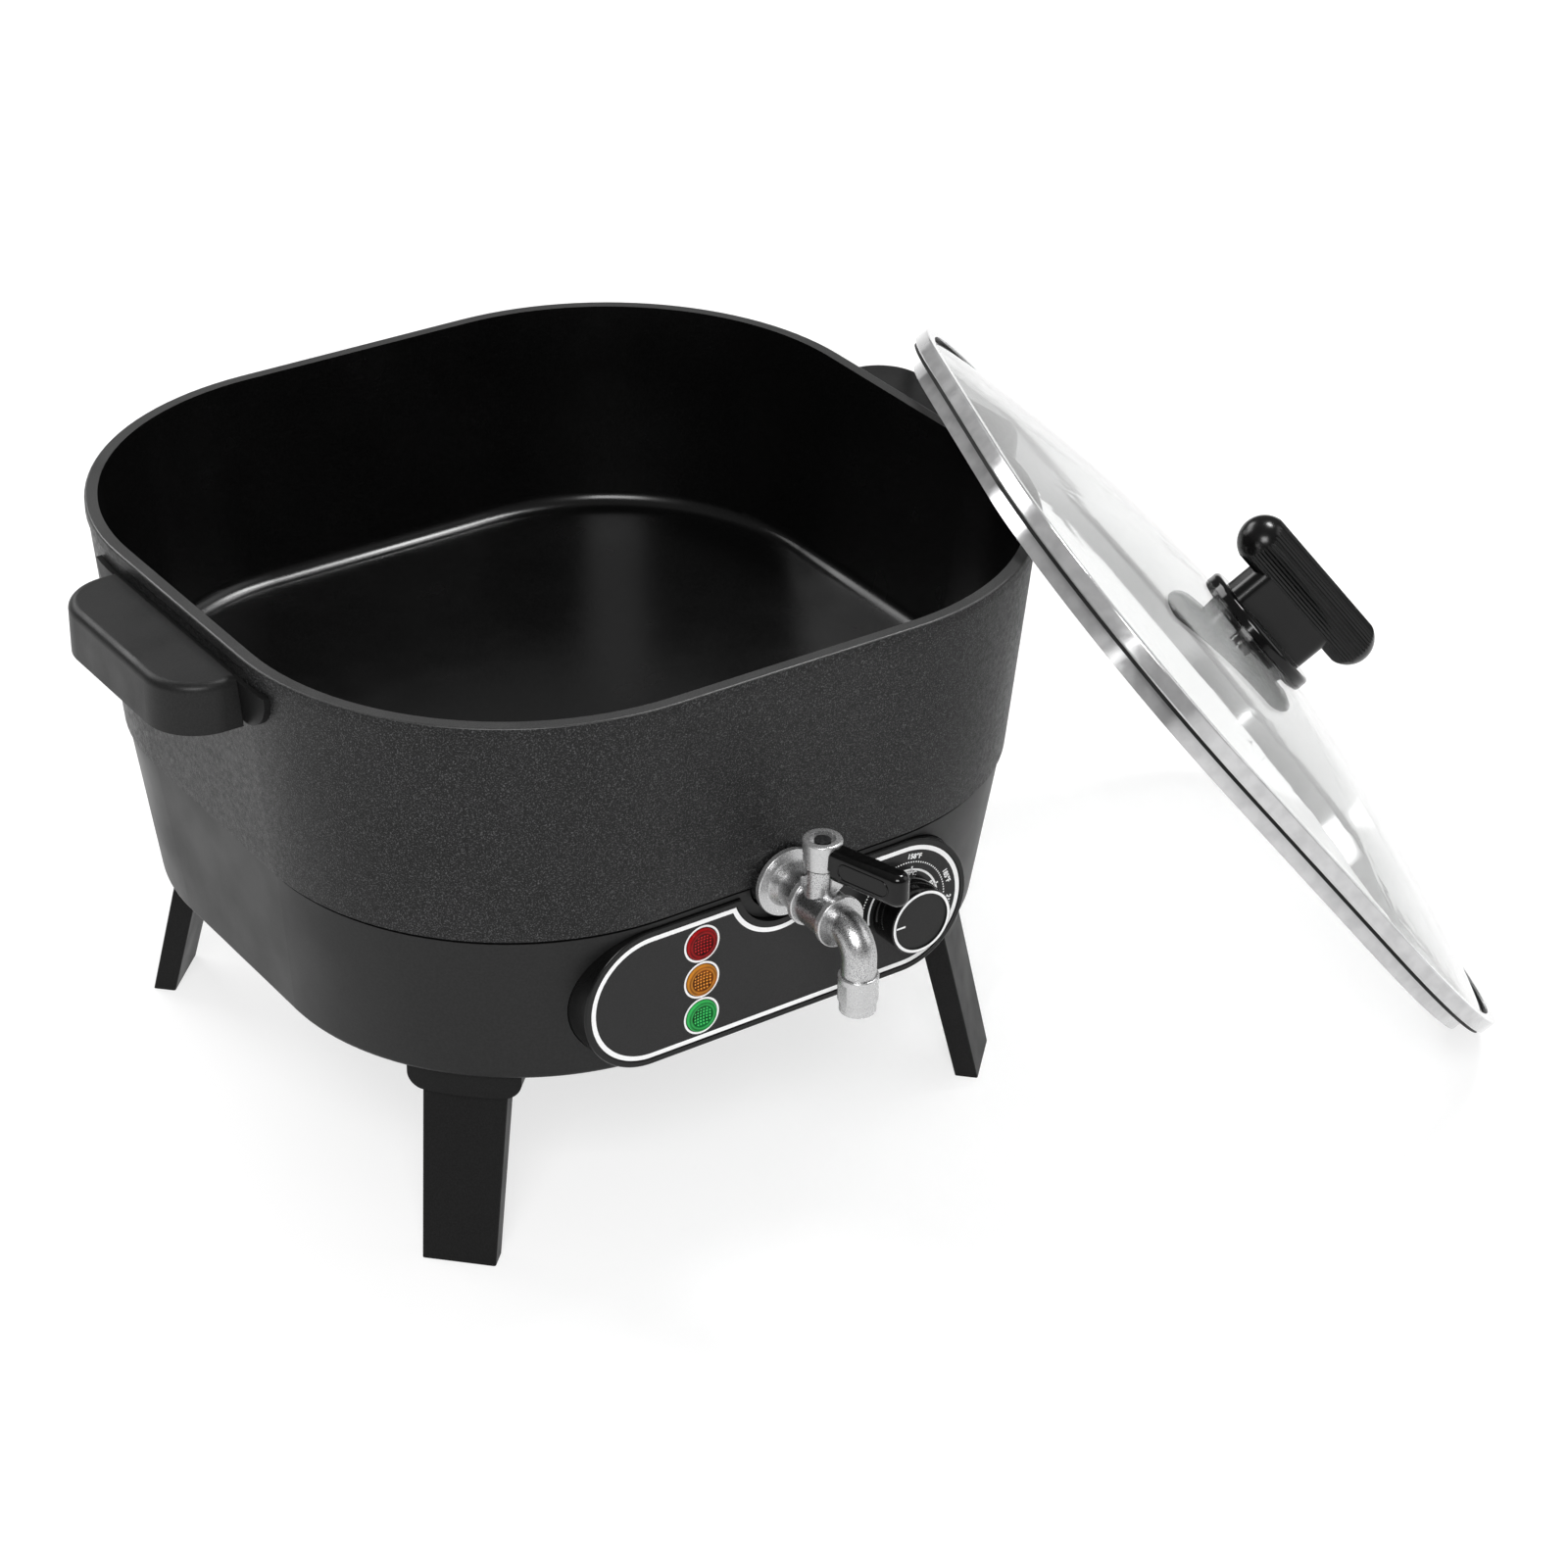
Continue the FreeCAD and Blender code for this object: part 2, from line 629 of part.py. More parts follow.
def make_leg():
    head_outer = BASE_BOTTOM_R - LEG_HEAD_SETBACK
    head = box(head_outer - LEG_HEAD_DEPTH, head_outer, -LEG_HEAD_WIDTH / 2, LEG_HEAD_WIDTH / 2,
               leg_head_bottom, leg_head_top)
    lower = [e for e in level_edges(head, leg_head_bottom) if e.BoundBox.YLength < 1.0]
    head = head.makeFillet(LEG_HEAD_CORNER, lower)
    head = head.common(upright(head_outer, 0.0, 0.0, leg_head_bottom, leg_head_top))
    foot_outer = BASE_BOTTOM_R + LEG_FOOT_REACH
    join_z = (leg_head_top + leg_head_bottom) / 2
    top_outer = foot_outer - join_z * math.tan(math.radians(LEG_SPLAY))
    slab = loft([leg_section(foot_outer, LEG_FOOT_THICK, LEG_FOOT_WIDTH, 0.0),
                 leg_section(top_outer, LEG_TOP_THICK, LEG_TOP_WIDTH, join_z)])
    upright_edges = [e for e in slab.Edges if e.BoundBox.ZLength > join_z / 2]
    slab = slab.makeFillet(LEG_EDGE, upright_edges)
    leg = join(head, slab)
    holes = [upright(LEG_SCREW_R + SCREW_GAP, x, y, leg_head_top - LEG_SCREW_GRIP - SEAT_GAP,
                     leg_head_top + OVERCUT) for x, y in leg_screw_spots]
    return cut(leg, *holes)


def make_leg_screws():
    seat_z = BASE_FLOOR + SEAT_GAP
    length = seat_z - leg_head_top + LEG_SCREW_GRIP
    screws = [screw(LEG_SCREW_R, V(x, y, seat_z), -Z_AXIS, length) for x, y in leg_screw_spots]
    return group([to_corner(one, corner) for corner in corners for one in screws])


leg = make_leg()
for corner in corners:
    parts["leg_" + corner] = to_corner(leg, corner)
parts["leg_screws"] = make_leg_screws()

# Side handles, built on the right and mirrored to the left

grip_top = RIM_Z - GRIP_TOP_DROP
grip_bottom = grip_top - GRIP_HEIGHT
grip_outer = RIM_X + GRIP_REACH
tab_bottom = grip_bottom + TAB_HEIGHT
tab_top = tab_bottom + BRACKET_THICK
grip_screw_x = RIM_X + TAB_REACH - TAB_HALF_WIDTH
grip_screw_spots = [(grip_screw_x, -TAB_OFFSET), (grip_screw_x, TAB_OFFSET)]
bracket_outer = BRACKET_THICK + SEAT_GAP


def outer_rounded(x1, half_y, z0, z1, radius):
    block = box(0.0, x1, -half_y, half_y, z0, z1)
    edges = [e for e in block.Edges if e.BoundBox.XMin > x1 / 2 and e.BoundBox.ZLength > 0.5 * (z1 - z0)]
    return block.makeFillet(radius, edges)


def wall_block(offset):
    return pot_wall(grip_bottom - OVERCUT, grip_top + OVERCUT, offset)


def make_grip():
    grip = outer_rounded(grip_outer, GRIP_HALF, grip_bottom, grip_top, GRIP_CORNER)
    grip = grip.makeFillet(GRIP_EDGE, [e for e in level_edges(grip, grip_top) if e.BoundBox.XMax > RIM_X])
    pocket = outer_rounded(grip_outer - GRIP_WALL, GRIP_HALF - GRIP_WALL, grip_bottom - OVERCUT,
                           grip_top - GRIP_ROOF, GRIP_CORNER - GRIP_WALL)
    grip = grip.cut(pocket)
    bosses = [upright(GRIP_BOSS_R, x, y, tab_top + SEAT_GAP, grip_top - GRIP_ROOF / 2)
              for x, y in grip_screw_spots]
    grip = join(grip, *bosses)
    holes = [upright(GRIP_SCREW_R + SCREW_GAP, x, y, tab_top, grip_top - GRIP_ROOF)
             for x, y in grip_screw_spots]
    return cut(grip, wall_block(bracket_outer + SEAT_GAP), *holes)


def make_bracket():
    top = RIM_Z - BRACKET_TOP_DROP
    bottom = top - BRACKET_HEIGHT
    blank = box(RIM_X / 2, grip_outer, -BRACKET_HALF, BRACKET_HALF, bottom, top)
    lower = [e for e in level_edges(blank, bottom) if e.BoundBox.YLength < 1.0]
    blank = blank.makeFillet(BRACKET_HEIGHT - SEAT_GAP, lower)
    plate = wall_block(bracket_outer).common(blank)
    tabs = [box(RIM_X / 2, RIM_X + TAB_REACH, y - TAB_HALF_WIDTH, y + TAB_HALF_WIDTH, tab_bottom, tab_top)
            for y in (-TAB_OFFSET, TAB_OFFSET)]
    bracket = join(plate, *tabs)
    tools = [wall_block(SEAT_GAP)]
    for x, y in grip_screw_spots:
        tools.append(upright(GRIP_SCREW_R + SCREW_GAP, x, y, tab_bottom - OVERCUT, tab_top + OVERCUT))
    for y in rivet_spots:
        tools.append(rivet_hole(y))
    return cut(bracket, *tools)


def make_handle_screws():
    seat_z = tab_bottom - SEAT_GAP
    length = grip_top - GRIP_ROOF - SEAT_GAP - seat_z
    return [screw(GRIP_SCREW_R, V(x, y, seat_z), Z_AXIS, length) for x, y in grip_screw_spots]


for name, shape in (("handle", make_grip()), ("handle_bracket", make_bracket())):
    right, left = both_sides(shape)
    parts[name + "_right"] = right
    parts[name + "_left"] = left
parts["handle_screws"] = group([s for one in make_handle_screws() for s in both_sides(one)])
parts["handle_rivets"] = group([s for y in rivet_spots for s in both_sides(make_rivet(y))])

# Control panel

lamp_heights = {"red": PANEL_Z + LAMP_PITCH, "amber": PANEL_Z, "green": PANEL_Z - LAMP_PITCH}


def make_bezel():
    body = stadium(BEZEL_HALF_LENGTH, BEZEL_HALF_HEIGHT, PANEL_FRONT, BEZEL_BACK)
    body = body.makeFillet(BEZEL_EDGE, front_edges(body, PANEL_FRONT))
    hook_low = PANEL_Z - BEZEL_HALF_HEIGHT - HOOK_HEIGHT
    hook_front = base_front(0.0, hook_low, BASE_WALL) - MOVE_GAP
    hooks = [box(x - HOOK_WIDTH / 2, x + HOOK_WIDTH / 2, -hook_front, HOOK_DEPTH - hook_front,
                 hook_low, PANEL_Z - BEZEL_HALF_HEIGHT + BEZEL_LIP / 2) for x in (-HOOK_OFFSET, HOOK_OFFSET)]
    end = BEZEL_HALF_LENGTH + HOOK_HEIGHT
    end_front = base_front(end, PANEL_Z - HOOK_WIDTH / 2, BASE_WALL) - MOVE_GAP
    end_hook = box(BEZEL_HALF_LENGTH - BEZEL_LIP / 2, end, -end_front, HOOK_DEPTH - end_front,
                   PANEL_Z - HOOK_WIDTH / 2, PANEL_Z + HOOK_WIDTH / 2)
    body = join(body, *hooks, *both_sides(end_hook))
    tools = [tap_rod(NOTCH_R, PANEL_FRONT + OVERCUT, BEZEL_BACK - OVERCUT),
             notched(BEZEL_LIP, PANEL_FRONT + OVERCUT, WEB_FRONT),
             notched(BEZEL_LIP, WEB_BACK, BEZEL_BACK - OVERCUT),
             panel_rod(BUSH_R + SEAT_GAP, DIAL_X, PANEL_Z, WEB_FRONT + OVERCUT, WEB_BACK - OVERCUT)]
    for z in lamp_heights.values():
        tools.append(panel_rod(LAMP_BODY_R + SEAT_GAP, LAMP_X, z, WEB_FRONT + OVERCUT, WEB_BACK - OVERCUT))
    return cut(body, *tools)


def make_faceplate():
    plate = notched(BEZEL_LIP + SEAT_GAP, FACE_FRONT, WEB_FRONT)
    tools = [panel_rod(BUSH_R + SEAT_GAP, DIAL_X, PANEL_Z, FACE_FRONT + OVERCUT, WEB_FRONT - OVERCUT)]
    for z in lamp_heights.values():
        tools.append(panel_rod(LAMP_R + SEAT_GAP, LAMP_X, z, FACE_FRONT + OVERCUT, WEB_FRONT - OVERCUT))
    return cut(plate, *tools)


def make_lens(z):
    front = FACE_FRONT + LAMP_PROUD
    lens = panel_rod(LAMP_R, LAMP_X, z, front, WEB_FRONT)
    lens = lens.makeFillet(LAMP_DOME, front_edges(lens, front))
    dish_sphere = (LAMP_DISH_R ** 2 + LAMP_DISH ** 2) / (2 * LAMP_DISH)
    return lens.cut(Part.makeSphere(dish_sphere, V(LAMP_X, LAMP_DISH - front - dish_sphere, z)))


def make_lamp_body(z):
    back = WEB_FRONT - LAMP_BODY_LENGTH
    blades = [box(LAMP_X + x - BLADE_THICK / 2, LAMP_X + x + BLADE_THICK / 2, -back, BLADE_LENGTH - back,
                  z - BLADE_WIDTH / 2, z + BLADE_WIDTH / 2) for x in (-LAMP_BODY_R / 2, LAMP_BODY_R / 2)]
    return join(panel_rod(LAMP_BODY_R, LAMP_X, z, WEB_FRONT, back), *blades)


knob_back = FACE_FRONT + MOVE_GAP
knob_front = knob_back + KNOB_LENGTH
shaft_back = WEB_BACK - SHAFT_INSIDE
thermostat_back = WEB_BACK - THERMOSTAT_DEPTH


def make_thermostat():
    block = box(DIAL_X - THERMOSTAT_HALF, DIAL_X + THERMOSTAT_HALF, -WEB_BACK, -thermostat_back,
                PANEL_Z - THERMOSTAT_HALF, PANEL_Z + THERMOSTAT_HALF)
    body = join(block, panel_rod(BUSH_R, DIAL_X, PANEL_Z, FACE_FRONT, WEB_BACK - SEAT_GAP))
    bore = panel_rod(SHAFT_R + RUN_GAP, DIAL_X, PANEL_Z, FACE_FRONT + OVERCUT, shaft_back - MOVE_GAP)
    return cut(body, bore)


def d_rod(grow, front, back):
    flat = box(DIAL_X - SHAFT_R * 2, DIAL_X + SHAFT_R * 2, -front, -back,
               PANEL_Z + SHAFT_FLAT + grow, PANEL_Z + SHAFT_R * 2)
    return panel_rod(SHAFT_R + grow, DIAL_X, PANEL_Z, front, back).cut(flat)


def make_shaft():
    tip = knob_back + KNOB_BORE_DEPTH - MOVE_GAP
    return join(panel_rod(SHAFT_R, DIAL_X, PANEL_Z, knob_back, shaft_back), d_rod(0.0, tip, knob_back))


def make_knob():
    knob = cone(KNOB_R, KNOB_R - KNOB_TAPER, V(DIAL_X, -knob_back, PANEL_Z), V(DIAL_X, -knob_front, PANEL_Z))
    knob = knob.makeFillet(KNOB_EDGE, front_edges(knob, knob_front))
    dish = panel_rod(KNOB_R - KNOB_TAPER - KNOB_EDGE - KNOB_RING, DIAL_X, PANEL_Z, knob_front + OVERCUT,
                     knob_front - KNOB_DISH)
    return cut(knob, dish, d_rod(SCREW_GAP, knob_back + KNOB_BORE_DEPTH, knob_back - OVERCUT))


parts["control_bezel"] = make_bezel()
parts["control_faceplate"] = make_faceplate()
for colour, height in lamp_heights.items():
    parts["lamp_lens_" + colour] = make_lens(height)
parts["lamp_bodies"] = group([make_lamp_body(z) for z in lamp_heights.values()])
parts["thermostat_body"] = make_thermostat()
parts["thermostat_shaft"] = make_shaft()
parts["dial_knob"] = make_knob()

# Tap

tap_seat = BOSS_FRONT + TAP_GASKET_THICK
flange_front = tap_seat + FLANGE_THICK
spout_back = LAST_COLLAR + COLLAR_THICK - SPOUT_GRIP
stem_top = TAP_Z + STEM_HEIGHT
plug_bottom = TAP_Z - PLUG_FLOOR
plug_top = stem_top - MOVE_GAP
hub_top = HUB_BOTTOM + HUB_HEIGHT
hub_foot = HUB_R - HUB_TAPER
neck_top = plug_top + PLUG_NECK_HEIGHT
finger_inner = STEM_R + MOVE_GAP
finger_outer = finger_inner + FINGER_THICK
finger_bottom = HUB_BOTTOM - FINGER_DROP


def stem_rod(radius, z0, z1):
    return upright(radius, 0.0, -STEM_Y, z0, z1)


def stem_sector(inner, outer, z0, z1, start, end):
    foot = V(0, -STEM_Y, z0)
    ring = Part.makeCylinder(outer, z1 - z0, foot, Z_AXIS, end - start)
    ring = ring.cut(stem_rod(inner, z0 - OVERCUT, z1 + OVERCUT))
    ring.rotate(foot, Z_AXIS, start)
    return ring


def make_tap_gasket():
    ring = tap_rod(FLANGE_R - FLANGE_EDGE, tap_seat, BOSS_FRONT)
    return cut(ring, tap_rod(SPIGOT_R + SCREW_GAP, tap_seat + OVERCUT, BOSS_FRONT - OVERCUT))


def make_collar(back):
    front = back + COLLAR_THICK
    collar = tap_rod(COLLAR_R, front, back)
    return collar.makeFillet(COLLAR_EDGE, front_edges(collar, back) + front_edges(collar, front))


def make_tap_body():
    flange = tap_rod(FLANGE_R, flange_front, tap_seat)
    flange = flange.makeFillet(FLANGE_EDGE, front_edges(flange, flange_front))
    shoulder = cone(SHOULDER_R, BARREL_R, V(0, -flange_front, TAP_Z),
                    V(0, -flange_front - SHOULDER_LENGTH, TAP_Z))
    stops_top = finger_bottom + STOP_HEIGHT
    closed_stop = FINGER_END + STOP_GAP
    open_stop = FINGER_START - VALVE_TURN - STOP_GAP
    stops = [stem_sector(STEM_R / 2, finger_outer, finger_bottom, stops_top, start, start + STOP_WIDTH)
             for start in (closed_stop, open_stop - STOP_WIDTH)]
    body = join(flange, shoulder,
                tap_rod(SPIGOT_R, tap_seat + FLANGE_THICK / 2, SPIGOT_BACK),
                tap_rod(BARREL_R, FIRST_COLLAR + COLLAR_THICK, flange_front - FLANGE_THICK / 2),
                make_collar(FIRST_COLLAR), make_collar(LAST_COLLAR),
                tap_rod(MID_R, LAST_COLLAR + COLLAR_THICK / 2, FIRST_COLLAR + COLLAR_THICK / 2),
                stem_rod(STEM_R, TAP_Z, stem_top), *stops)
    return cut(body,
               tap_rod(WATERWAY_R, LAST_COLLAR + COLLAR_THICK + OVERCUT, SPIGOT_BACK - OVERCUT),
               tap_rod(SPOUT_R + SCREW_GAP, LAST_COLLAR + COLLAR_THICK + OVERCUT, spout_back - SEAT_GAP),
               stem_rod(PLUG_R, plug_bottom - SEAT_GAP, stem_top + OVERCUT))


def make_spout():
    axis = [V(0, -spout_back, TAP_Z), V(0, SPOUT_BEND - SPOUT_Y, TAP_Z)]
    down = [V(0, -SPOUT_Y, TAP_Z - SPOUT_BEND), V(0, -SPOUT_Y, TAP_Z - SPOUT_LENGTH)]
    share = 1.0 - math.sqrt(0.5)
    knee = V(0, -SPOUT_Y + SPOUT_BEND * share, TAP_Z - SPOUT_BEND * share)
    bend = Part.Arc(axis[1], knee, down[0]).toShape()
    path = Part.Wire([Part.makeLine(*axis), bend, Part.makeLine(*down)])

    def pipe(radius):
        return path.makePipeShell([Part.Wire(Part.makeCircle(radius, axis[0], Y_AXIS))], True, True)

    return pipe(SPOUT_R).cut(pipe(WATERWAY_R))


def make_nozzle():
    top = TAP_Z - NOZZLE_TOP
    shoulder = top - NOZZLE_HEIGHT
    tip = shoulder - NOZZLE_LIP_HEIGHT
    seat = TAP_Z - SPOUT_LENGTH - SEAT_GAP
    barrel = upright(NOZZLE_R, 0.0, -SPOUT_Y, shoulder, top)
    barrel = barrel.makeFillet(NOZZLE_EDGE, level_edges(barrel, top) + level_edges(barrel, shoulder))
    lip = upright(NOZZLE_LIP_R, 0.0, -SPOUT_Y, tip, shoulder + NOZZLE_EDGE * 2)
    lip = lip.makeFillet(NOZZLE_EDGE, level_edges(lip, tip))
    flat = box(NOZZLE_FLAT, NOZZLE_R + OVERCUT, -SPOUT_Y - NOZZLE_R, NOZZLE_R - SPOUT_Y,
               shoulder - OVERCUT, top - NOZZLE_RING)
    return cut(join(barrel, lip), *both_sides(flat),
               upright(SPOUT_R + SCREW_GAP, 0.0, -SPOUT_Y, seat, top + OVERCUT),
               upright(NOZZLE_MOUTH_R, 0.0, -SPOUT_Y, tip - OVERCUT, top))


def make_plug():
    plug = join(stem_rod(PLUG_R - RUN_GAP, plug_bottom, plug_top),
                stem_rod(PLUG_NECK_R, plug_bottom, neck_top))
    port = rod(PLUG_PORT_R, V(-STEM_R, -STEM_Y, TAP_Z), V(STEM_R, -STEM_Y, TAP_Z))
    hole = stem_rod(HUB_SCREW_R + SCREW_GAP, neck_top - PLUG_NECK_HEIGHT, neck_top + OVERCUT)
    return cut(plug, port, hole)


def lever_placed(shape):
    turned = shape.copy()
    turned.rotate(V(0, 0, 0), Z_AXIS, LEVER_ANGLE)
    turned.translate(V(0, -STEM_Y, HUB_BOTTOM + LEVER_RISE))
    return turned


def make_hub():
    hub = cone(hub_foot, HUB_R, V(0, -STEM_Y, HUB_BOTTOM), V(0, -STEM_Y, hub_top))
    hub = hub.makeFillet(HUB_EDGE, level_edges(hub, hub_top))
    finger = stem_sector(finger_inner, finger_outer, finger_bottom, HUB_BOTTOM, FINGER_START, FINGER_END)
    root = stem_sector(hub_foot / 2, finger_outer, HUB_BOTTOM - SEAT_GAP, HUB_BOTTOM + FINGER_THICK,
                       FINGER_START, FINGER_END)
    tang = lever_placed(box(HUB_R / 2, TANG_REACH, -TANG_WIDTH / 2, TANG_WIDTH / 2, 0.0, TANG_HEIGHT))
    return cut(join(hub, finger, root, tang),
               stem_rod(PLUG_NECK_R + SCREW_GAP, HUB_BOTTOM - FINGER_DROP, neck_top + SEAT_GAP),
               stem_rod(HUB_SCREW_R + SCREW_GAP, HUB_BOTTOM, hub_top),
               stem_rod(HUB_RECESS_R, hub_top - HUB_RECESS_DEPTH, hub_top + OVERCUT))


def make_hub_screw():
    seat = V(0, -STEM_Y, hub_top - HUB_RECESS_DEPTH + SEAT_GAP)
    return screw(HUB_SCREW_R, seat, -Z_AXIS, seat.z - neck_top + PLUG_NECK_HEIGHT - SEAT_GAP)


def make_lever():
    half = LEVER_WIDTH / 2
    low = -LEVER_HEIGHT / 2
    high = LEVER_HEIGHT / 2
    bar = join(box(0.0, LEVER_LENGTH - half, -half, half, low, high),
               upright(half, LEVER_LENGTH - half, 0.0, low, high))
    bar = bar.makeFillet(LEVER_EDGE, level_edges(bar, low) + level_edges(bar, high))
    slot = box(0.0, TANG_REACH + SEAT_GAP, -TANG_WIDTH / 2 - SEAT_GAP, TANG_WIDTH / 2 + SEAT_GAP,
               -SEAT_GAP, TANG_HEIGHT + SEAT_GAP)
    finger_room = upright(finger_outer + SEAT_GAP, 0.0, 0.0, low - OVERCUT,
                          FINGER_THICK + SEAT_GAP - LEVER_RISE)
    hub_room = cone(hub_foot + SEAT_GAP, HUB_R + SEAT_GAP, V(0, 0, -LEVER_RISE),
                    V(0, 0, HUB_HEIGHT - LEVER_RISE))
    return lever_placed(cut(bar, slot, finger_room, hub_room))


parts["tap_gasket"] = make_tap_gasket()
parts["tap_body"] = make_tap_body()
parts["tap_spout"] = make_spout()
parts["tap_nozzle"] = make_nozzle()
parts["tap_plug"] = make_plug()
parts["tap_hub"] = make_hub()
parts["tap_hub_screw"] = make_hub_screw()
parts["tap_lever"] = make_lever()

# Heating and wiring

cold_end_turn = math.degrees(COLD_END_R / ELEMENT_R)
cold_end_angles = (90.0 + ELEMENT_GAP / 2 + cold_end_turn, 90.0 - ELEMENT_GAP / 2 - cold_end_turn)
cold_end_bottom = element_z - COLD_END_LENGTH
block_bottom = BASE_FLOOR + SEAT_GAP
block_top = block_bottom + BLOCK_HEIGHT


def on_ring(radius, angle, z):
    turn = math.radians(angle)
    return V(radius * math.cos(turn), radius * math.sin(turn), z)


def make_element():
    start = 90.0 + ELEMENT_GAP / 2
    ring = Part.makeTorus(ELEMENT_R, TUBE_R, V(0, 0, 0), Z_AXIS, 0, 360, 360.0 - ELEMENT_GAP)
    ring.rotate(V(0, 0, 0), Z_AXIS, start)
    ring.translate(V(0, 0, element_z))
    ends = [rod(COLD_END_R, on_ring(ELEMENT_R, a, element_z), on_ring(ELEMENT_R, a, cold_end_bottom))
            for a in cold_end_angles]
    return join(ring, *ends)


def make_element_plate():
    bottom = element_plate_top - ELEMENT_PLATE_THICK
    plate = upright(ELEMENT_PLATE_OUTER, 0.0, 0.0, bottom, element_plate_top)
    end = on_ring(ELEMENT_R, cold_end_angles[0], 0.0)
    clear = COLD_END_R + OVERCUT
    tools = [upright(ELEMENT_PLATE_INNER, 0.0, 0.0, bottom - OVERCUT, element_plate_top + OVERCUT),
             box(end.x - clear, -end.x + clear, end.y - clear, ELEMENT_PLATE_OUTER,
                 bottom - OVERCUT, element_plate_top + OVERCUT)]
    for x, y in stud_spots:
        tools.append(upright(STUD_R + SCREW_GAP, x, y, bottom - OVERCUT, element_plate_top + OVERCUT))
    return cut(plate, *tools)


def make_nut(x, y, top):
    reach = NUT_FLAT / math.sqrt(3.0)
    points = [V(x, y, top - NUT_HEIGHT) + on_ring(reach, 60.0 * i, 0.0) for i in range(7)]
    nut = extrude(Part.makePolygon(points), NUT_HEIGHT)
    return nut.cut(upright(STUD_R + SCREW_GAP, x, y, top - NUT_HEIGHT - OVERCUT, top + OVERCUT))


def make_clip():
    bottom = clip_top - CLIP_THICK
    bar = box(-CLIP_HALF, CLIP_HALF, -CLIP_WIDTH / 2, CLIP_WIDTH / 2, bottom, clip_top)
    return cut(bar, upright(STUD_R + SCREW_GAP, 0.0, 0.0, bottom - OVERCUT, clip_top + OVERCUT))


def make_bulb():
    end = -BULB_LENGTH / 2
    bulb = rod(BULB_R, V(SENSOR_X, end, bulb_z), V(SENSOR_X, -end, bulb_z))
    below = plate_nut_top - STUD_END
    capillary = cable([V(SENSOR_X, end + BULB_R, bulb_z),
                       V(SENSOR_X, end - BULB_R, bulb_z - CAPILLARY_R),
                       V(SENSOR_X, end - 3 * BULB_R, below),
                       V((SENSOR_X + DIAL_X) / 2, -ELEMENT_R, below - BULB_R),
                       V(DIAL_X, -thermostat_back + 3 * BULB_R, PANEL_Z),
                       V(DIAL_X, -thermostat_back + MOVE_GAP, PANEL_Z)], CAPILLARY_R)
    return join(bulb, capillary)


def make_cutout():
    can = upright(CUTOUT_R, -SENSOR_X, 0.0, clip_top + SEAT_GAP, SEAM_Z - SEAT_GAP)
    reach = CUTOUT_R + BLADE_LENGTH
    blades = box(-SENSOR_X - BLADE_WIDTH / 2, -SENSOR_X + BLADE_WIDTH / 2, -reach, reach,
                 bulb_z - BLADE_THICK / 2, bulb_z + BLADE_THICK / 2)
    return join(can, blades)


def make_block():
    block = box(BLOCK_X, BLOCK_X + BLOCK_LENGTH, BLOCK_Y - BLOCK_DEPTH / 2, BLOCK_Y + BLOCK_DEPTH / 2,
                block_bottom, block_top)
    wells = [upright(BLOCK_SCREW_R, BLOCK_X + BLOCK_LENGTH * (i + 0.5) / BLOCK_WAYS, BLOCK_Y,
                     block_top - BLOCK_HEIGHT / 2, block_top + OVERCUT) for i in range(BLOCK_WAYS)]
    return cut(block, *wells)


def make_grommet():
    inside = -BASE_WALL - SEAT_GAP
    body = join(grommet_rod(GROMMET_R, SEAT_GAP, GROMMET_FLANGE),
                grommet_rod(GROMMET_NECK_R, inside - GROMMET_FLANGE, GROMMET_FLANGE),
                grommet_rod(GROMMET_R, inside - GROMMET_FLANGE, inside),
                cone(GROMMET_NECK_R, GROMMET_NOSE_R, grommet_seat + grommet_axis * GROMMET_FLANGE,
                     grommet_seat + grommet_axis * (GROMMET_FLANGE + GROMMET_NOSE)))
    return cut(body, grommet_rod(GROMMET_BORE_R, inside - GROMMET_FLANGE - OVERCUT,
                                 GROMMET_FLANGE + GROMMET_NOSE + OVERCUT))


def make_wiring():
    front = BLOCK_Y - BLOCK_DEPTH / 2 - MOVE_GAP
    wire_z = block_bottom + BLOCK_HEIGHT / 3
    ways = [V(BLOCK_X + BLOCK_LENGTH * (i + 0.5) / BLOCK_WAYS, front, wire_z) for i in range(BLOCK_WAYS)]
    low = wire_z + WIRE_R
    lead = V(0, -BLOCK_DEPTH, 0)
    wires = []
    for way, angle in zip(ways, reversed(cold_end_angles)):
        end = on_ring(ELEMENT_R, angle, cold_end_bottom - MOVE_GAP)
        drop = V(0, 0, low - end.z)
        rise = [end + drop * 0.8, end + drop * 0.4, end]
        wires.append(cable([way, way + lead / 2, way + lead] + rise, WIRE_R))
    lamp_end = V(LAMP_X + LAMP_BODY_R / 2, BLADE_LENGTH + SEAT_GAP - WEB_FRONT + LAMP_BODY_LENGTH, PANEL_Z)
    to_lamp = [ways[2], ways[2] + lead / 2, ways[2] + lead, V(0, 0, low), lamp_end - lead, lamp_end]
    wires.append(cable(to_lamp, WIRE_R))
    dial_end = V(DIAL_X, SEAT_GAP - thermostat_back, PANEL_Z - THERMOSTAT_HALF / 2)
    to_dial = [ways[3], ways[3] + lead / 2, ways[3] + lead, V(ways[3].x, 0, low), dial_end - lead, dial_end]
    wires.append(cable(to_dial, WIRE_R))
    return group(wires)


parts["heating_element"] = make_element()
parts["element_plate"] = make_element_plate()
plate_nuts = [make_nut(x, y, plate_nut_top) for x, y in stud_spots]
parts["stud_nuts"] = group(plate_nuts + [make_nut(0.0, 0.0, clip_nut_top)])
parts["sensor_clip"] = make_clip()
parts["thermostat_bulb"] = make_bulb()
parts["thermal_cutout"] = make_cutout()
parts["terminal_block"] = make_block()
parts["cord_grommet"] = make_grommet()
parts["wiring"] = make_wiring()

# Lid, made flat in its own frame and then leaned against the pot

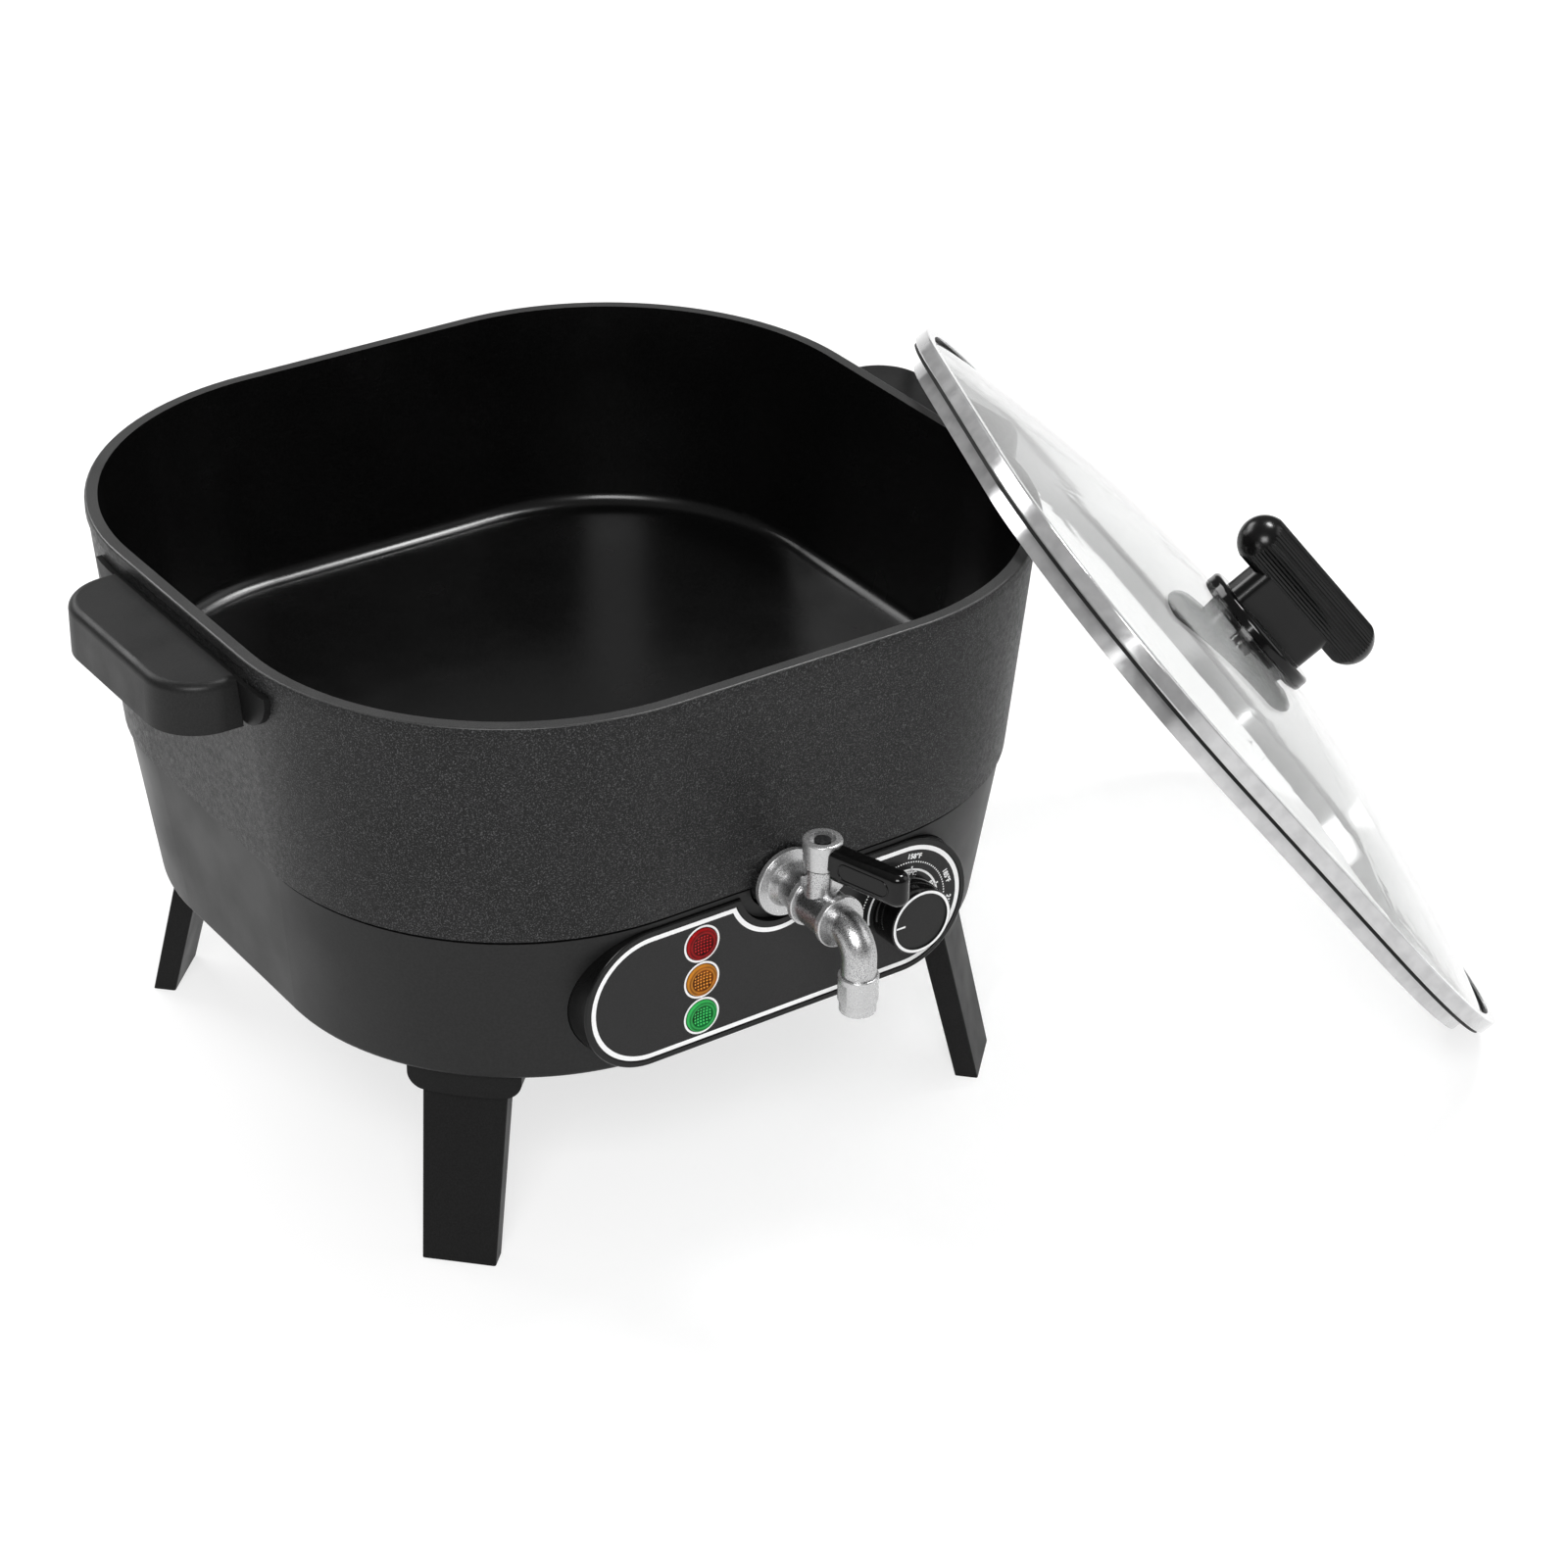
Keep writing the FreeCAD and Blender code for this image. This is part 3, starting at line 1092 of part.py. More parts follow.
glass_bottom = (FLANGE_HEIGHT - GLASS_THICK) / 2
glass_top = glass_bottom + GLASS_THICK
glass_fit = (FLANGE_HEIGHT - 2 * SHEET - GLASS_THICK - 2 * GLASS_GASKET) / 4
glass_edge = SHEET + GLASS_GASKET + 2 * glass_fit
dome_top = glass_top + GLASS_RISE * (1 - GLASS_STEPS[-1] ** 2)
seat_top = dome_top + SEAT_GAP + KNOB_SEAT_THICK
post_bottom = seat_top + SEAT_GAP
bar_z = post_bottom + POST_HEIGHT + BAR_R - POST_SINK
washer_bottom = dome_top - GLASS_THICK - SEAT_GAP - WASHER_THICK


def lid_layer(inset, z0, z1):
    grow = LID_OVERHANG - inset
    return extrude(rounded_rect(RIM_X + grow, RIM_Y + grow, RIM_R + grow, z0), z1 - z0)


def lid_ring(outer, inner, z0, z1):
    return lid_layer(outer, z0, z1).cut(lid_layer(inner, z0, z1))


def lid_rod(radius, z0, z1):
    return upright(radius, 0.0, 0.0, z0, z1)


def make_lid_rim():
    band = lid_layer(0.0, 0.0, FLANGE_HEIGHT)
    band = band.makeFillet(FLANGE_ROUND, level_edges(band, 0.0) + level_edges(band, FLANGE_HEIGHT))
    skirt_inner = SKIRT_INSET + SHEET
    band = cut(band,
               lid_layer(SHEET, SHEET, FLANGE_HEIGHT - SHEET),
               lid_layer(CURL_WIDTH, FLANGE_HEIGHT / 2, FLANGE_HEIGHT + OVERCUT),
               lid_layer(skirt_inner, -OVERCUT, FLANGE_HEIGHT / 2))
    return join(band, lid_ring(SKIRT_INSET, skirt_inner, -SKIRT_HEIGHT, SHEET / 2))


def make_glass_gasket():
    ring = lid_ring(SHEET + glass_fit, CURL_WIDTH + GASKET_SHOW, SHEET + glass_fit,
                    FLANGE_HEIGHT - SHEET - glass_fit)
    return cut(ring, lid_layer(glass_edge - glass_fit, glass_bottom - glass_fit, glass_top + glass_fit))


def dome(drop):
    half_x = RIM_X + LID_OVERHANG - GLASS_SEAT
    half_y = RIM_Y + LID_OVERHANG - GLASS_SEAT
    radius = RIM_R + LID_OVERHANG - GLASS_SEAT
    wires = []
    for s in GLASS_STEPS:
        corner = radius + (half_y - radius) * (1 - s) * GLASS_ROUNDING
        height = glass_top - drop + GLASS_RISE * (1 - s ** 2)
        wires.append(rounded_rect(half_x * s, half_y * s, corner * s, height))
    return loft(wires, False)


def make_glass():
    edge = lid_layer(glass_edge, glass_bottom, glass_top)
    glass = edge.fuse(dome(0.0)).cut(dome(GLASS_THICK))
    return cut(glass, lid_rod(LID_HOLE_R, 0.0, dome_top + OVERCUT))


def make_seal():
    return lid_ring(SEAL_INSET, SKIRT_INSET - SEAT_GAP, -SEAL_THICK, 0.0)


def make_knob_seat():
    seat = lid_rod(KNOB_SEAT_R, dome_top + SEAT_GAP, seat_top)
    seat = seat.makeFillet(KNOB_SEAT_EDGE, level_edges(seat, seat_top))
    return cut(seat, lid_rod(LID_SCREW_R + SCREW_GAP, dome_top, seat_top + OVERCUT))


def make_lid_knob():
    half = BAR_LENGTH / 2
    points = []
    for i in range(2 * BAR_FLUTES):
        turn = math.pi * i / BAR_FLUTES
        radius = BAR_R - FLUTE_DEPTH * (i % 2)
        points.append(V(-half, radius * math.cos(turn), bar_z + radius * math.sin(turn)))
    bar = Part.Face(Part.makePolygon(points + points[:1])).extrude(X_AXIS * (2 * half))
    round_r = BAR_R + BAR_END_GAIN
    left = V(round_r - half, 0, bar_z)
    right = V(half - round_r, 0, bar_z)
    ends = [Part.makeSphere(round_r, left), Part.makeSphere(round_r, right)]
    bar = bar.common(join(rod(round_r, left, right), *ends))
    post = box(-POST_LENGTH / 2, POST_LENGTH / 2, -POST_WIDTH / 2, POST_WIDTH / 2, post_bottom, bar_z)
    post = post.makeFillet(POST_CORNER, [e for e in post.Edges if e.BoundBox.ZLength > POST_HEIGHT / 2])
    hole = lid_rod(LID_SCREW_R + SCREW_GAP, post_bottom - OVERCUT, post_bottom + LID_SCREW_GRIP + SEAT_GAP)
    return cut(join(bar, post), hole)


def make_washer():
    washer = lid_rod(WASHER_R, washer_bottom, washer_bottom + WASHER_THICK)
    return cut(washer, lid_rod(LID_SCREW_R + SCREW_GAP, washer_bottom - OVERCUT, dome_top))


def make_lid_screw():
    seat = V(0, 0, washer_bottom - SEAT_GAP)
    return screw(LID_SCREW_R, seat, Z_AXIS, post_bottom + LID_SCREW_GRIP - seat.z)


def lean(shape, distance, height):
    heading = FreeCAD.Rotation(Z_AXIS, LID_HEADING)
    tilt = FreeCAD.Rotation(Y_AXIS, LID_TILT)
    spin = FreeCAD.Rotation(Z_AXIS, LID_SPIN)
    place = heading.multVec(V(distance, LID_SIDE, 0)) + V(0, 0, height)
    leaned = shape.copy()
    leaned.Placement = FreeCAD.Placement(place, heading.multiply(tilt).multiply(spin))
    return leaned


lid = {
    "lid_rim": make_lid_rim(),
    "lid_glass_gasket": make_glass_gasket(),
    "lid_glass": make_glass(),
    "lid_seal": make_seal(),
    "lid_knob_seat": make_knob_seat(),
    "lid_knob": make_lid_knob(),
    "lid_knob_washer": make_washer(),
    "lid_knob_screw": make_lid_screw(),
}


def find_lean():
    edge = group([lid["lid_rim"], lid["lid_seal"]])
    pot = group([parts[name] for name in ("pot_vessel", "handle_right", "handle_bracket_right")])
    distance = 2 * RIM_X + GRIP_REACH
    height = -lean(edge, distance, 0.0).optimalBoundingBox().ZMin
    for _ in range(LEAN_STEPS):
        spare = lean(edge, distance, height).distToShape(pot)[0] - LID_GAP
        distance -= spare
        if spare < LEAN_TOLERANCE:
            break
    return distance, height


lean_distance, lean_height = find_lean()
for name, shape in lid.items():
    parts[name] = lean(shape, lean_distance, lean_height)

os.makedirs("parts", exist_ok=True)
for name, shape in parts.items():
    shape.exportStep("parts/" + name + ".step")
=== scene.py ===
import math

import bpy
from mathutils import Matrix, Vector


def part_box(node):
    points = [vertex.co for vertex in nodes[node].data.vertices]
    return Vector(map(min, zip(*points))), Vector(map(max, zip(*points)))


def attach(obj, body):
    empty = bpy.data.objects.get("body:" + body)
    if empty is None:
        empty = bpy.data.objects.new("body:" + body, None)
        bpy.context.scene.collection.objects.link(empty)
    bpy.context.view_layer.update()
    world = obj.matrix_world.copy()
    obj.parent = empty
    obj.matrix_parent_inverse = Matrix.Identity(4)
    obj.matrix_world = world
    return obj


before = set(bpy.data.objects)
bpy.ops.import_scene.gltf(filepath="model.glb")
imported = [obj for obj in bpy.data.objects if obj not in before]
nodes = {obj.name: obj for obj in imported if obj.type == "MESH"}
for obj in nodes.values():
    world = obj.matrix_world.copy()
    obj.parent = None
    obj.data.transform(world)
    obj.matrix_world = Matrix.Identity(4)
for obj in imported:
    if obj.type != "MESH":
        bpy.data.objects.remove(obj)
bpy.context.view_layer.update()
scene = bpy.context.scene
MM = 0.001

# Places on the part that the print and the small details follow, in millimetres
PANEL_Z = 102.5
FACE_Y = -138.3
TAP_Z = 132.6
LAMP_X = -32.0
LAMP_PITCH = 14.4
LAMP_R = 6.0
PRISM = 2.4
PRISM_REACH = 3.7
DIAL_X = 51.5
KNOB_FRONT_Y = -149.5
STEM_Y = -161.5
LEVER_ANGLE = -73.0
LEVER_HALF = 3.9
BEAD_START = 12.5
BEAD_END = 27.0
BEAD_HALF = 3.0
BEAD_R = 0.3
RIM_Z = 218.0
FLOOR_Z = 139.0
FLANGE_FRONT = 144.0
COLLAR_R = 8.3
COLLARS = ((154.0, 157.5), (170.0, 173.5))
SMOOTH_ANGLE = 30.0

# Print: radii from the dial's axis, half sizes of the border, angles clockwise from the top
PRINT_RAISE = 0.04
PRINT_BOLD = 0.09
BORDER_OUTSIDE = (75.8, 23.9, 19.3)
BORDER_INSIDE = (74.1, 22.2, 21.0)
LAMP_RING = (7.1, 6.35)
KNOB_RING = (11.95, 10.95)
KNOB_DISH = 0.4
POINTER = (10.6, 6.6)
POINTER_HALF = 0.35
SCALE_R = 14.6
SCALE_HALF = 0.4
SCALE_START = -100.0
SCALE_END = 103.0
TICK_REACH = 1.3
TICK_FOOT = 0.3
TICK_HALF_TURN = 1.2
CELSIUS_INSET = 1.7
CELSIUS_HEIGHT = 1.75
FAHRENHEIT_OUTSET = 2.1
FAHRENHEIT_HEIGHT = 1.85
DOTS_R = 17.6
DOTS_START = -115.0
DOTS = 62
DOT_R = 0.32
MARKS = ((13.0, "70", "158"), (70.0, "85", "185"), (SCALE_END, "100", "212"))

# Stage, in metres; the camera's turn, height and roll are in degrees
FLOOR_HALF = 30.0
FLOOR_DROP = 0.0003
CAMERA_ANGLES = (-35.126, 30.495, 1.033)
CAMERA_TARGET = (0.028404, -0.098474, 0.139793)
CAMERA_DISTANCE = 1.4174
SENSOR = 36.0
FOCAL_SHARE = 4183.29 / 1600.0


# Materials

class Finish:
    """A Principled material whose colour, roughness and relief come from noise in the part's own frame."""

    def __init__(self, name, roughness=0.5, metallic=0.0, **sockets):
        self.material = bpy.data.materials.new(name)
        self.material.use_nodes = True
        self.tree = self.material.node_tree
        self.shader = self.tree.nodes["Principled BSDF"]
        self.shader.inputs["Roughness"].default_value = roughness
        self.shader.inputs["Metallic"].default_value = metallic
        for socket, value in sockets.items():
            self.shader.inputs[socket.replace("_", " ")].default_value = value
        self.coords = self.tree.nodes.new("ShaderNodeTexCoord").outputs["Object"]

    def link(self, output, target):
        self.tree.links.new(output, target)

    def math(self, operation, *values):
        node = self.tree.nodes.new("ShaderNodeMath")
        node.operation = operation
        for socket, value in zip(node.inputs, values):
            if isinstance(value, (int, float)):
                socket.default_value = value
            else:
                self.link(value, socket)
        return node.outputs[0]

    def noise(self, size_mm, detail=2.0):
        node = self.tree.nodes.new("ShaderNodeTexNoise")
        node.inputs["Scale"].default_value = 1.0 / (size_mm * MM)
        node.inputs["Detail"].default_value = detail
        self.link(self.coords, node.inputs["Vector"])
        return node.outputs["Fac"]

    def ramp(self, value, *stops):
        node = self.tree.nodes.new("ShaderNodeValToRGB")
        elements = node.color_ramp.elements
        while len(elements) < len(stops):
            elements.new(0.5)
        for element, (position, colour) in zip(elements, stops):
            element.position = position
            element.color = (*colour, 1.0)
        self.link(value, node.inputs["Fac"])
        return node.outputs["Color"]

    def mix(self, factor, first, second):
        node = self.tree.nodes.new("ShaderNodeMix")
        node.data_type = "RGBA"
        for socket, value in zip((node.inputs[0], node.inputs[6], node.inputs[7]), (factor, first, second)):
            if isinstance(value, tuple):
                socket.default_value = (*value, 1.0)
            else:
                self.link(value, socket)
        return node.outputs[2]

    def colour(self, output):
        self.link(output, self.shader.inputs["Base Color"])
        return self

    def rough(self, value, low, high):
        node = self.tree.nodes.new("ShaderNodeMapRange")
        node.inputs["From Min"].default_value = 0.3
        node.inputs["From Max"].default_value = 0.7
        node.inputs["To Min"].default_value = low
        node.inputs["To Max"].default_value = high
        self.link(value, node.inputs["Value"])
        self.link(node.outputs["Result"], self.shader.inputs["Roughness"])
        return self

    def relief(self, value, depth_mm, strength=1.0):
        node = self.tree.nodes.new("ShaderNodeBump")
        node.inputs["Distance"].default_value = depth_mm * MM
        node.inputs["Strength"].default_value = strength
        self.link(value, node.inputs["Height"])
        self.link(node.outputs["Normal"], self.shader.inputs["Normal"])
        return self


def grey(value, tint=0.0):
    return (value, value, value + tint)


def grained(name, dark, light, grain_mm, low, high, depth_mm, specular=0.5):
    """A moulded or painted skin: fine colour grain, patchy roughness and shallow relief of one grain size."""
    finish = Finish(name, Specular_IOR_Level=specular)
    grain = finish.noise(grain_mm, 3.0)
    finish.colour(finish.ramp(grain, (0.35, dark), (0.7, light)))
    finish.rough(finish.noise(grain_mm * 30, 2.0), low, high)
    return finish.relief(grain, depth_mm).material


def pot_coat():
    """Stone-grain coating: an even fine speckle of pale and dark grains over near black."""
    finish = Finish("pot_coat", Specular_IOR_Level=0.19)
    speck = finish.noise(0.5, 3.0)
    patch = finish.noise(40.0, 2.0)
    base = finish.ramp(patch, (0.3, grey(0.005)), (0.7, grey(0.008, 0.0003)))
    pits = finish.ramp(speck, (0.3, grey(1.0)), (0.46, grey(0.0)))
    flakes = finish.ramp(speck, (0.52, grey(0.0)), (0.74, grey(1.0)))
    ground = finish.mix(pits, base, grey(0.002))
    finish.colour(finish.mix(flakes, ground, grey(0.085, 0.002)))
    finish.rough(finish.noise(2.0, 2.0), 0.34, 0.5)
    return finish.relief(speck, 0.1, 0.9).material


def nonstick():
    finish = Finish("nonstick", Specular_IOR_Level=0.3)
    fine = finish.noise(0.6, 3.0)
    finish.colour(finish.ramp(fine, (0.4, grey(0.0012)), (0.75, grey(0.0045))))
    finish.rough(finish.noise(25.0, 3.0), 0.2, 0.28)
    return finish.relief(fine, 0.012, 0.3).material


def lens(name, z, dark, deep, painted_glint):
    """A moulded lamp lens: a dished middle with a grid of small prisms over a cloudy tone, with painted
    highlights as light rings round the outside and as glints on the prisms, and a faint painted glow.
    """
    finish = Finish(name, roughness=0.08, Specular_IOR_Level=0.08)
    split = finish.tree.nodes.new("ShaderNodeSeparateXYZ")
    finish.link(finish.coords, split.inputs[0])
    across = finish.math("SUBTRACT", split.outputs["X"], LAMP_X * MM)
    along = finish.math("SUBTRACT", split.outputs["Z"], z * MM)
    waves = [finish.math("COSINE", finish.math("MULTIPLY", axis, 2 * math.pi / (PRISM * MM)))
             for axis in (across, along)]
    prisms = finish.math("MAXIMUM", *(finish.math("ABSOLUTE", wave) for wave in waves))
    distance = finish.math("SQRT", finish.math("ADD", finish.math("POWER", across, 2.0),
                                               finish.math("POWER", along, 2.0)))
    reach = finish.math("DIVIDE", distance, LAMP_R * MM)
    middle = finish.math("LESS_THAN", distance, PRISM_REACH * MM)
    # The prism cells give real relief, and they also take the glint colour: painted glints on the prisms.
    dots = finish.math("MULTIPLY", finish.math("LESS_THAN", prisms, 0.72), middle)
    cloud = finish.mix(finish.ramp(finish.noise(3.0, 2.0), (0.38, grey(0.0)), (0.62, grey(1.0))), dark, deep)
    # Painted highlight: light rings round the outer part of the lens in the glint colour, standing in for
    # light caught by the lens.
    edge_highlight = finish.ramp(reach, (0.66, grey(0.0)), (0.76, grey(0.5)), (0.86, grey(0.1)), (0.97, grey(0.6)))
    finish.colour(finish.mix(dots, finish.mix(edge_highlight, cloud, painted_glint), painted_glint))
    # Painted glow: the unlit lens emits a little of its deep colour.
    finish.shader.inputs["Emission Color"].default_value = (*deep, 1.0)
    finish.shader.inputs["Emission Strength"].default_value = 0.02
    return finish.relief(dots, 0.15, 0.6).material


def metal(name, dark, light, low, high, grain_mm, depth_mm, tint=0.003, metallic=1.0):
    finish = Finish(name, metallic=metallic)
    grain = finish.noise(grain_mm, 3.0)
    finish.colour(finish.ramp(grain, (0.34, grey(dark, tint)), (0.62, grey(light, tint))))
    finish.rough(grain, low, high)
    return finish.relief(grain, depth_mm, 0.6).material


def clear_glass():
    finish = Finish("clear_glass", Transmission_Weight=1.0, IOR=1.47)
    film = finish.noise(60.0, 3.0)
    finish.colour(finish.ramp(film, (0.3, (0.885, 0.895, 0.89)), (0.7, (0.915, 0.922, 0.918))))
    return finish.rough(film, 0.0, 0.03).material


COAT = pot_coat()
NONSTICK = nonstick()
# Grained like the coat but lighter, for the rim's up-facing faces: painted sheen of the light falling on the
# rim top.
RIM_TOP_SHEEN = grained("rim_top_sheen", grey(0.016), grey(0.045), 0.5, 0.3, 0.42, 0.02, 0.35)
PAINT = grained("base_paint", grey(0.008), grey(0.0125, 0.0002), 0.9, 0.36, 0.46, 0.012, 0.2)
GRIP = grained("grip_moulding", grey(0.006), grey(0.012), 0.6, 0.38, 0.5, 0.03, 0.23)
MOULDING = grained("black_moulding", grey(0.004), grey(0.008), 0.6, 0.38, 0.5, 0.02, 0.13)
BEZEL = grained("bezel_moulding", grey(0.003), grey(0.006), 0.8, 0.2, 0.3, 0.008, 0.25)
FACE = grained("panel_face", grey(0.012), grey(0.016, 0.0004), 0.5, 0.14, 0.22, 0.002, 0.2)
KNOB_FACE = grained("knob_face", grey(0.011), grey(0.016), 0.4, 0.3, 0.4, 0.006, 0.2)
RIBBED = grained("ribbed_knob", grey(0.0015), grey(0.003), 0.8, 0.2, 0.28, 0.004, 0.28)
GLOSS = grained("gloss_black", grey(0.0018), grey(0.0035), 1.5, 0.05, 0.1, 0.003, 0.27)
RUBBER = grained("black_rubber", grey(0.004), grey(0.009), 0.5, 0.55, 0.7, 0.02, 0.2)
INK = grained("white_ink", grey(0.8), grey(0.9), 0.4, 0.4, 0.5, 0.004)
CERAMIC = grained("pale_moulding", (0.5, 0.48, 0.42), (0.66, 0.64, 0.57), 0.8, 0.45, 0.6, 0.02)
WIRE = grained("wire_sleeve", (0.5, 0.49, 0.45), (0.64, 0.63, 0.59), 0.4, 0.5, 0.65, 0.02)
CAST_CHROME = metal("cast_chrome", 0.22, 0.64, 0.22, 0.36, 0.3, 0.1)
CHROME = metal("turned_chrome", 0.46, 0.52, 0.24, 0.32, 0.7, 0.003, metallic=0.75)
STEEL = metal("lid_steel", 0.46, 0.54, 0.1, 0.16, 6.0, 0.001, metallic=0.6)
PLATED = metal("plated_steel", 0.42, 0.52, 0.25, 0.4, 1.0, 0.01)
# Painted shade: the screw deep in the hub's bore gets a dark steel colour standing in for the shade in the
# bore.
BORE_SHADE_SCREW = metal("bore_shade_screw", 0.06, 0.12, 0.3, 0.45, 1.0, 0.01)
BRASS = metal("plug_brass", 0.5, 0.6, 0.2, 0.3, 1.0, 0.01, -0.3)
GLASS = clear_glass()

node_materials = {
    "base_shell": PAINT, "seam_gasket": RUBBER, "tap_gasket": RUBBER, "lid_seal": RUBBER,
    "lid_glass_gasket": RUBBER, "cord_grommet": RUBBER, "bottom_plate": PAINT,
    "handle_bracket_left": MOULDING, "handle_bracket_right": MOULDING, "control_bezel": BEZEL,
    "control_faceplate": FACE, "lid_knob": RIBBED, "lid_knob_seat": GLOSS, "lid_knob_washer": MOULDING,
    "dial_knob": GLOSS, "tap_lever": GLOSS, "tap_spout": CAST_CHROME, "tap_hub": CHROME,
    "tap_nozzle": CHROME, "tap_hub_screw": BORE_SHADE_SCREW, "tap_plug": BRASS, "lid_rim": STEEL,
    "lid_glass": GLASS,
    "lamp_bodies": CERAMIC, "thermostat_body": CERAMIC, "terminal_block": CERAMIC, "wiring": WIRE,
    "lamp_lens_red": lens("lens_red", PANEL_Z + LAMP_PITCH, (0.012, 0.0003, 0.0004), (0.09, 0.0008, 0.0012),
                          (0.5, 0.012, 0.014)),
    "lamp_lens_amber": lens("lens_amber", PANEL_Z, (0.05, 0.01, 0.0003), (0.18, 0.04, 0.001),
                            (0.8, 0.32, 0.035)),
    "lamp_lens_green": lens("lens_green", PANEL_Z - LAMP_PITCH, (0.0004, 0.025, 0.005), (0.001, 0.12, 0.024),
                            (0.06, 0.62, 0.14)),
}
for name in nodes:
    if name.startswith(("leg_front", "leg_rear")):
        node_materials[name] = MOULDING
    if name in ("handle_left", "handle_right"):
        node_materials[name] = GRIP
    node_materials.setdefault(name, PLATED)


def dress(name, *materials):
    mesh = nodes[name].data
    mesh.materials.clear()
    for material in materials:
        mesh.materials.append(material)
    return mesh


for name, material in node_materials.items():
    dress(name, material)


OUTER_FACE, INNER_FACE, RIM_FACE = range(3)


def pot_face(face):
    """The rim, the inner side, which is the floor and the walls that face the pot's axis, or the outside."""
    outward = Vector((face.center.x, face.center.y, 0.0))
    wall = face.normal.dot(outward) < -0.02 * outward.length and face.center.z > (FLOOR_Z - 0.5) * MM
    floor = face.normal.z > 0.3 and face.center.z < (RIM_Z - 5.0) * MM
    if face.normal.z > 0.4 and face.center.z > (RIM_Z - 3.0) * MM:
        return RIM_FACE
    return INNER_FACE if face.center.z > (FLOOR_Z - 1.0) * MM and (wall or floor) else OUTER_FACE


def turned_ring(face):
    """The flange and the two collars of the tap, which are turned smooth on the rough casting."""
    ahead = -face.center.y / MM
    radius = math.hypot(face.center.x, face.center.z - TAP_Z * MM) / MM
    collar = any(start < ahead < end for start, end in COLLARS)
    return ahead < FLANGE_FRONT or (radius > COLLAR_R and collar)


def knob_front(face):
    return face.normal.y < -0.9


# The rim's up-facing faces take the painted sheen colour.
for name, chosen, materials in (("pot_vessel", pot_face, (COAT, NONSTICK, RIM_TOP_SHEEN)),
                                ("tap_body", turned_ring, (CAST_CHROME, CHROME)),
                                ("dial_knob", knob_front, (GLOSS, KNOB_FACE))):
    for face in dress(name, *materials).polygons:
        face.material_index = int(chosen(face))


# Print on the panel and on the dial

def add_mesh(name, points, faces, material, body):
    mesh = bpy.data.meshes.new(name)
    mesh.from_pydata([tuple(c * MM for c in p) for p in points], [], faces)
    mesh.materials.append(material)
    piece = bpy.data.objects.new(name, mesh)
    scene.collection.objects.link(piece)
    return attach(piece, body)


def strip(name, outer, inner, y, closed, body="chassis", slot="panel_face"):
    """A flat band of ink between two lines of (x, z) points on a face towards the front."""
    count = len(outer)
    points = [(x, y, z) for x, z in outer] + [(x, y, z) for x, z in inner]
    faces = []
    for i in range(count if closed else count - 1):
        j = (i + 1) % count
        faces.append((i, count + i, count + j, j))
    return add_mesh(name, points, faces, INK, body)


def arc(cx, cz, radius, start, end, count):
    """Points round a centre; angles in degrees clockwise from the top, seen from the front."""
    points = []
    for i in range(count):
        turn = math.radians(start + (end - start) * i / (count - 1))
        points.append((cx + radius * math.sin(turn), cz + radius * math.cos(turn)))
    return points


def line(start, end, count):
    """Points between two ends, without the ends."""
    return [(start[0] + (end[0] - start[0]) * i / count, start[1] + (end[1] - start[1]) * i / count)
            for i in range(1, count)]


def border(half_length, half_height, notch):
    """The outline of the panel: a stadium with a round bite below the tap."""
    top = PANEL_Z + half_height
    reach = half_length - half_height
    bite = math.degrees(math.acos((TAP_Z - top) / notch))
    left = (-notch * math.sin(math.radians(bite)), top)
    right = (-left[0], top)
    return (arc(0.0, TAP_Z, notch, 180.0 + bite, 180.0 - bite, 40)
            + line(right, (reach, top), 12)
            + arc(reach, PANEL_Z, half_height, 0.0, 180.0, 48)
            + line((reach, PANEL_Z - half_height), (-reach, PANEL_Z - half_height), 12)
            + arc(-reach, PANEL_Z, half_height, 180.0, 360.0, 48)
            + line((-reach, top), left, 12))


def ring(name, x, z, radii, y, body="chassis", slot="panel_face"):
    outer, inner = (arc(x, z, radius, 0.0, 354.0, 60) for radius in radii)
    return strip(name, outer, inner, y, True, body, slot)


def lettering(name, text, x, z, turn, height):
    """Flat figures on the panel; turn in degrees clockwise from upright."""
    curve = bpy.data.curves.new(name, "FONT")
    curve.body = text
    curve.size = height * MM / 0.7
    curve.align_x = "CENTER"
    curve.align_y = "CENTER"
    curve.offset = PRINT_BOLD * MM
    curve.resolution_u = 4
    text_object = bpy.data.objects.new(name, curve)
    mesh = bpy.data.meshes.new_from_object(text_object)
    bpy.data.objects.remove(text_object)
    mesh.materials.append(INK)
    piece = bpy.data.objects.new(name, mesh)
    scene.collection.objects.link(piece)
    upright = Matrix.Rotation(math.radians(90.0), 4, "X")
    turned = Matrix.Rotation(math.radians(turn), 4, "Y")
    piece.matrix_world = Matrix.Translation((x * MM, (FACE_Y - PRINT_RAISE) * MM, z * MM)) @ turned @ upright
    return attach(piece, "chassis")


ink_y = FACE_Y - PRINT_RAISE
strip("print_border", border(*BORDER_OUTSIDE), border(*BORDER_INSIDE), ink_y, True)
for colour, step in (("red", 1), ("amber", 0), ("green", -1)):
    ring("print_ring_" + colour, LAMP_X, PANEL_Z + step * LAMP_PITCH, LAMP_RING, ink_y)


def dial_band(name, outer, inner, start, end, count):
    return strip(name, arc(DIAL_X, PANEL_Z, outer, start, end, count),
                 arc(DIAL_X, PANEL_Z, inner, start, end, count), ink_y, False)


def dial_figure(text, radius, turn, height):
    x, z = arc(DIAL_X, PANEL_Z, radius, turn, turn, 2)[0]
    return lettering("print_" + text[:-2], text, x, z, turn, height)


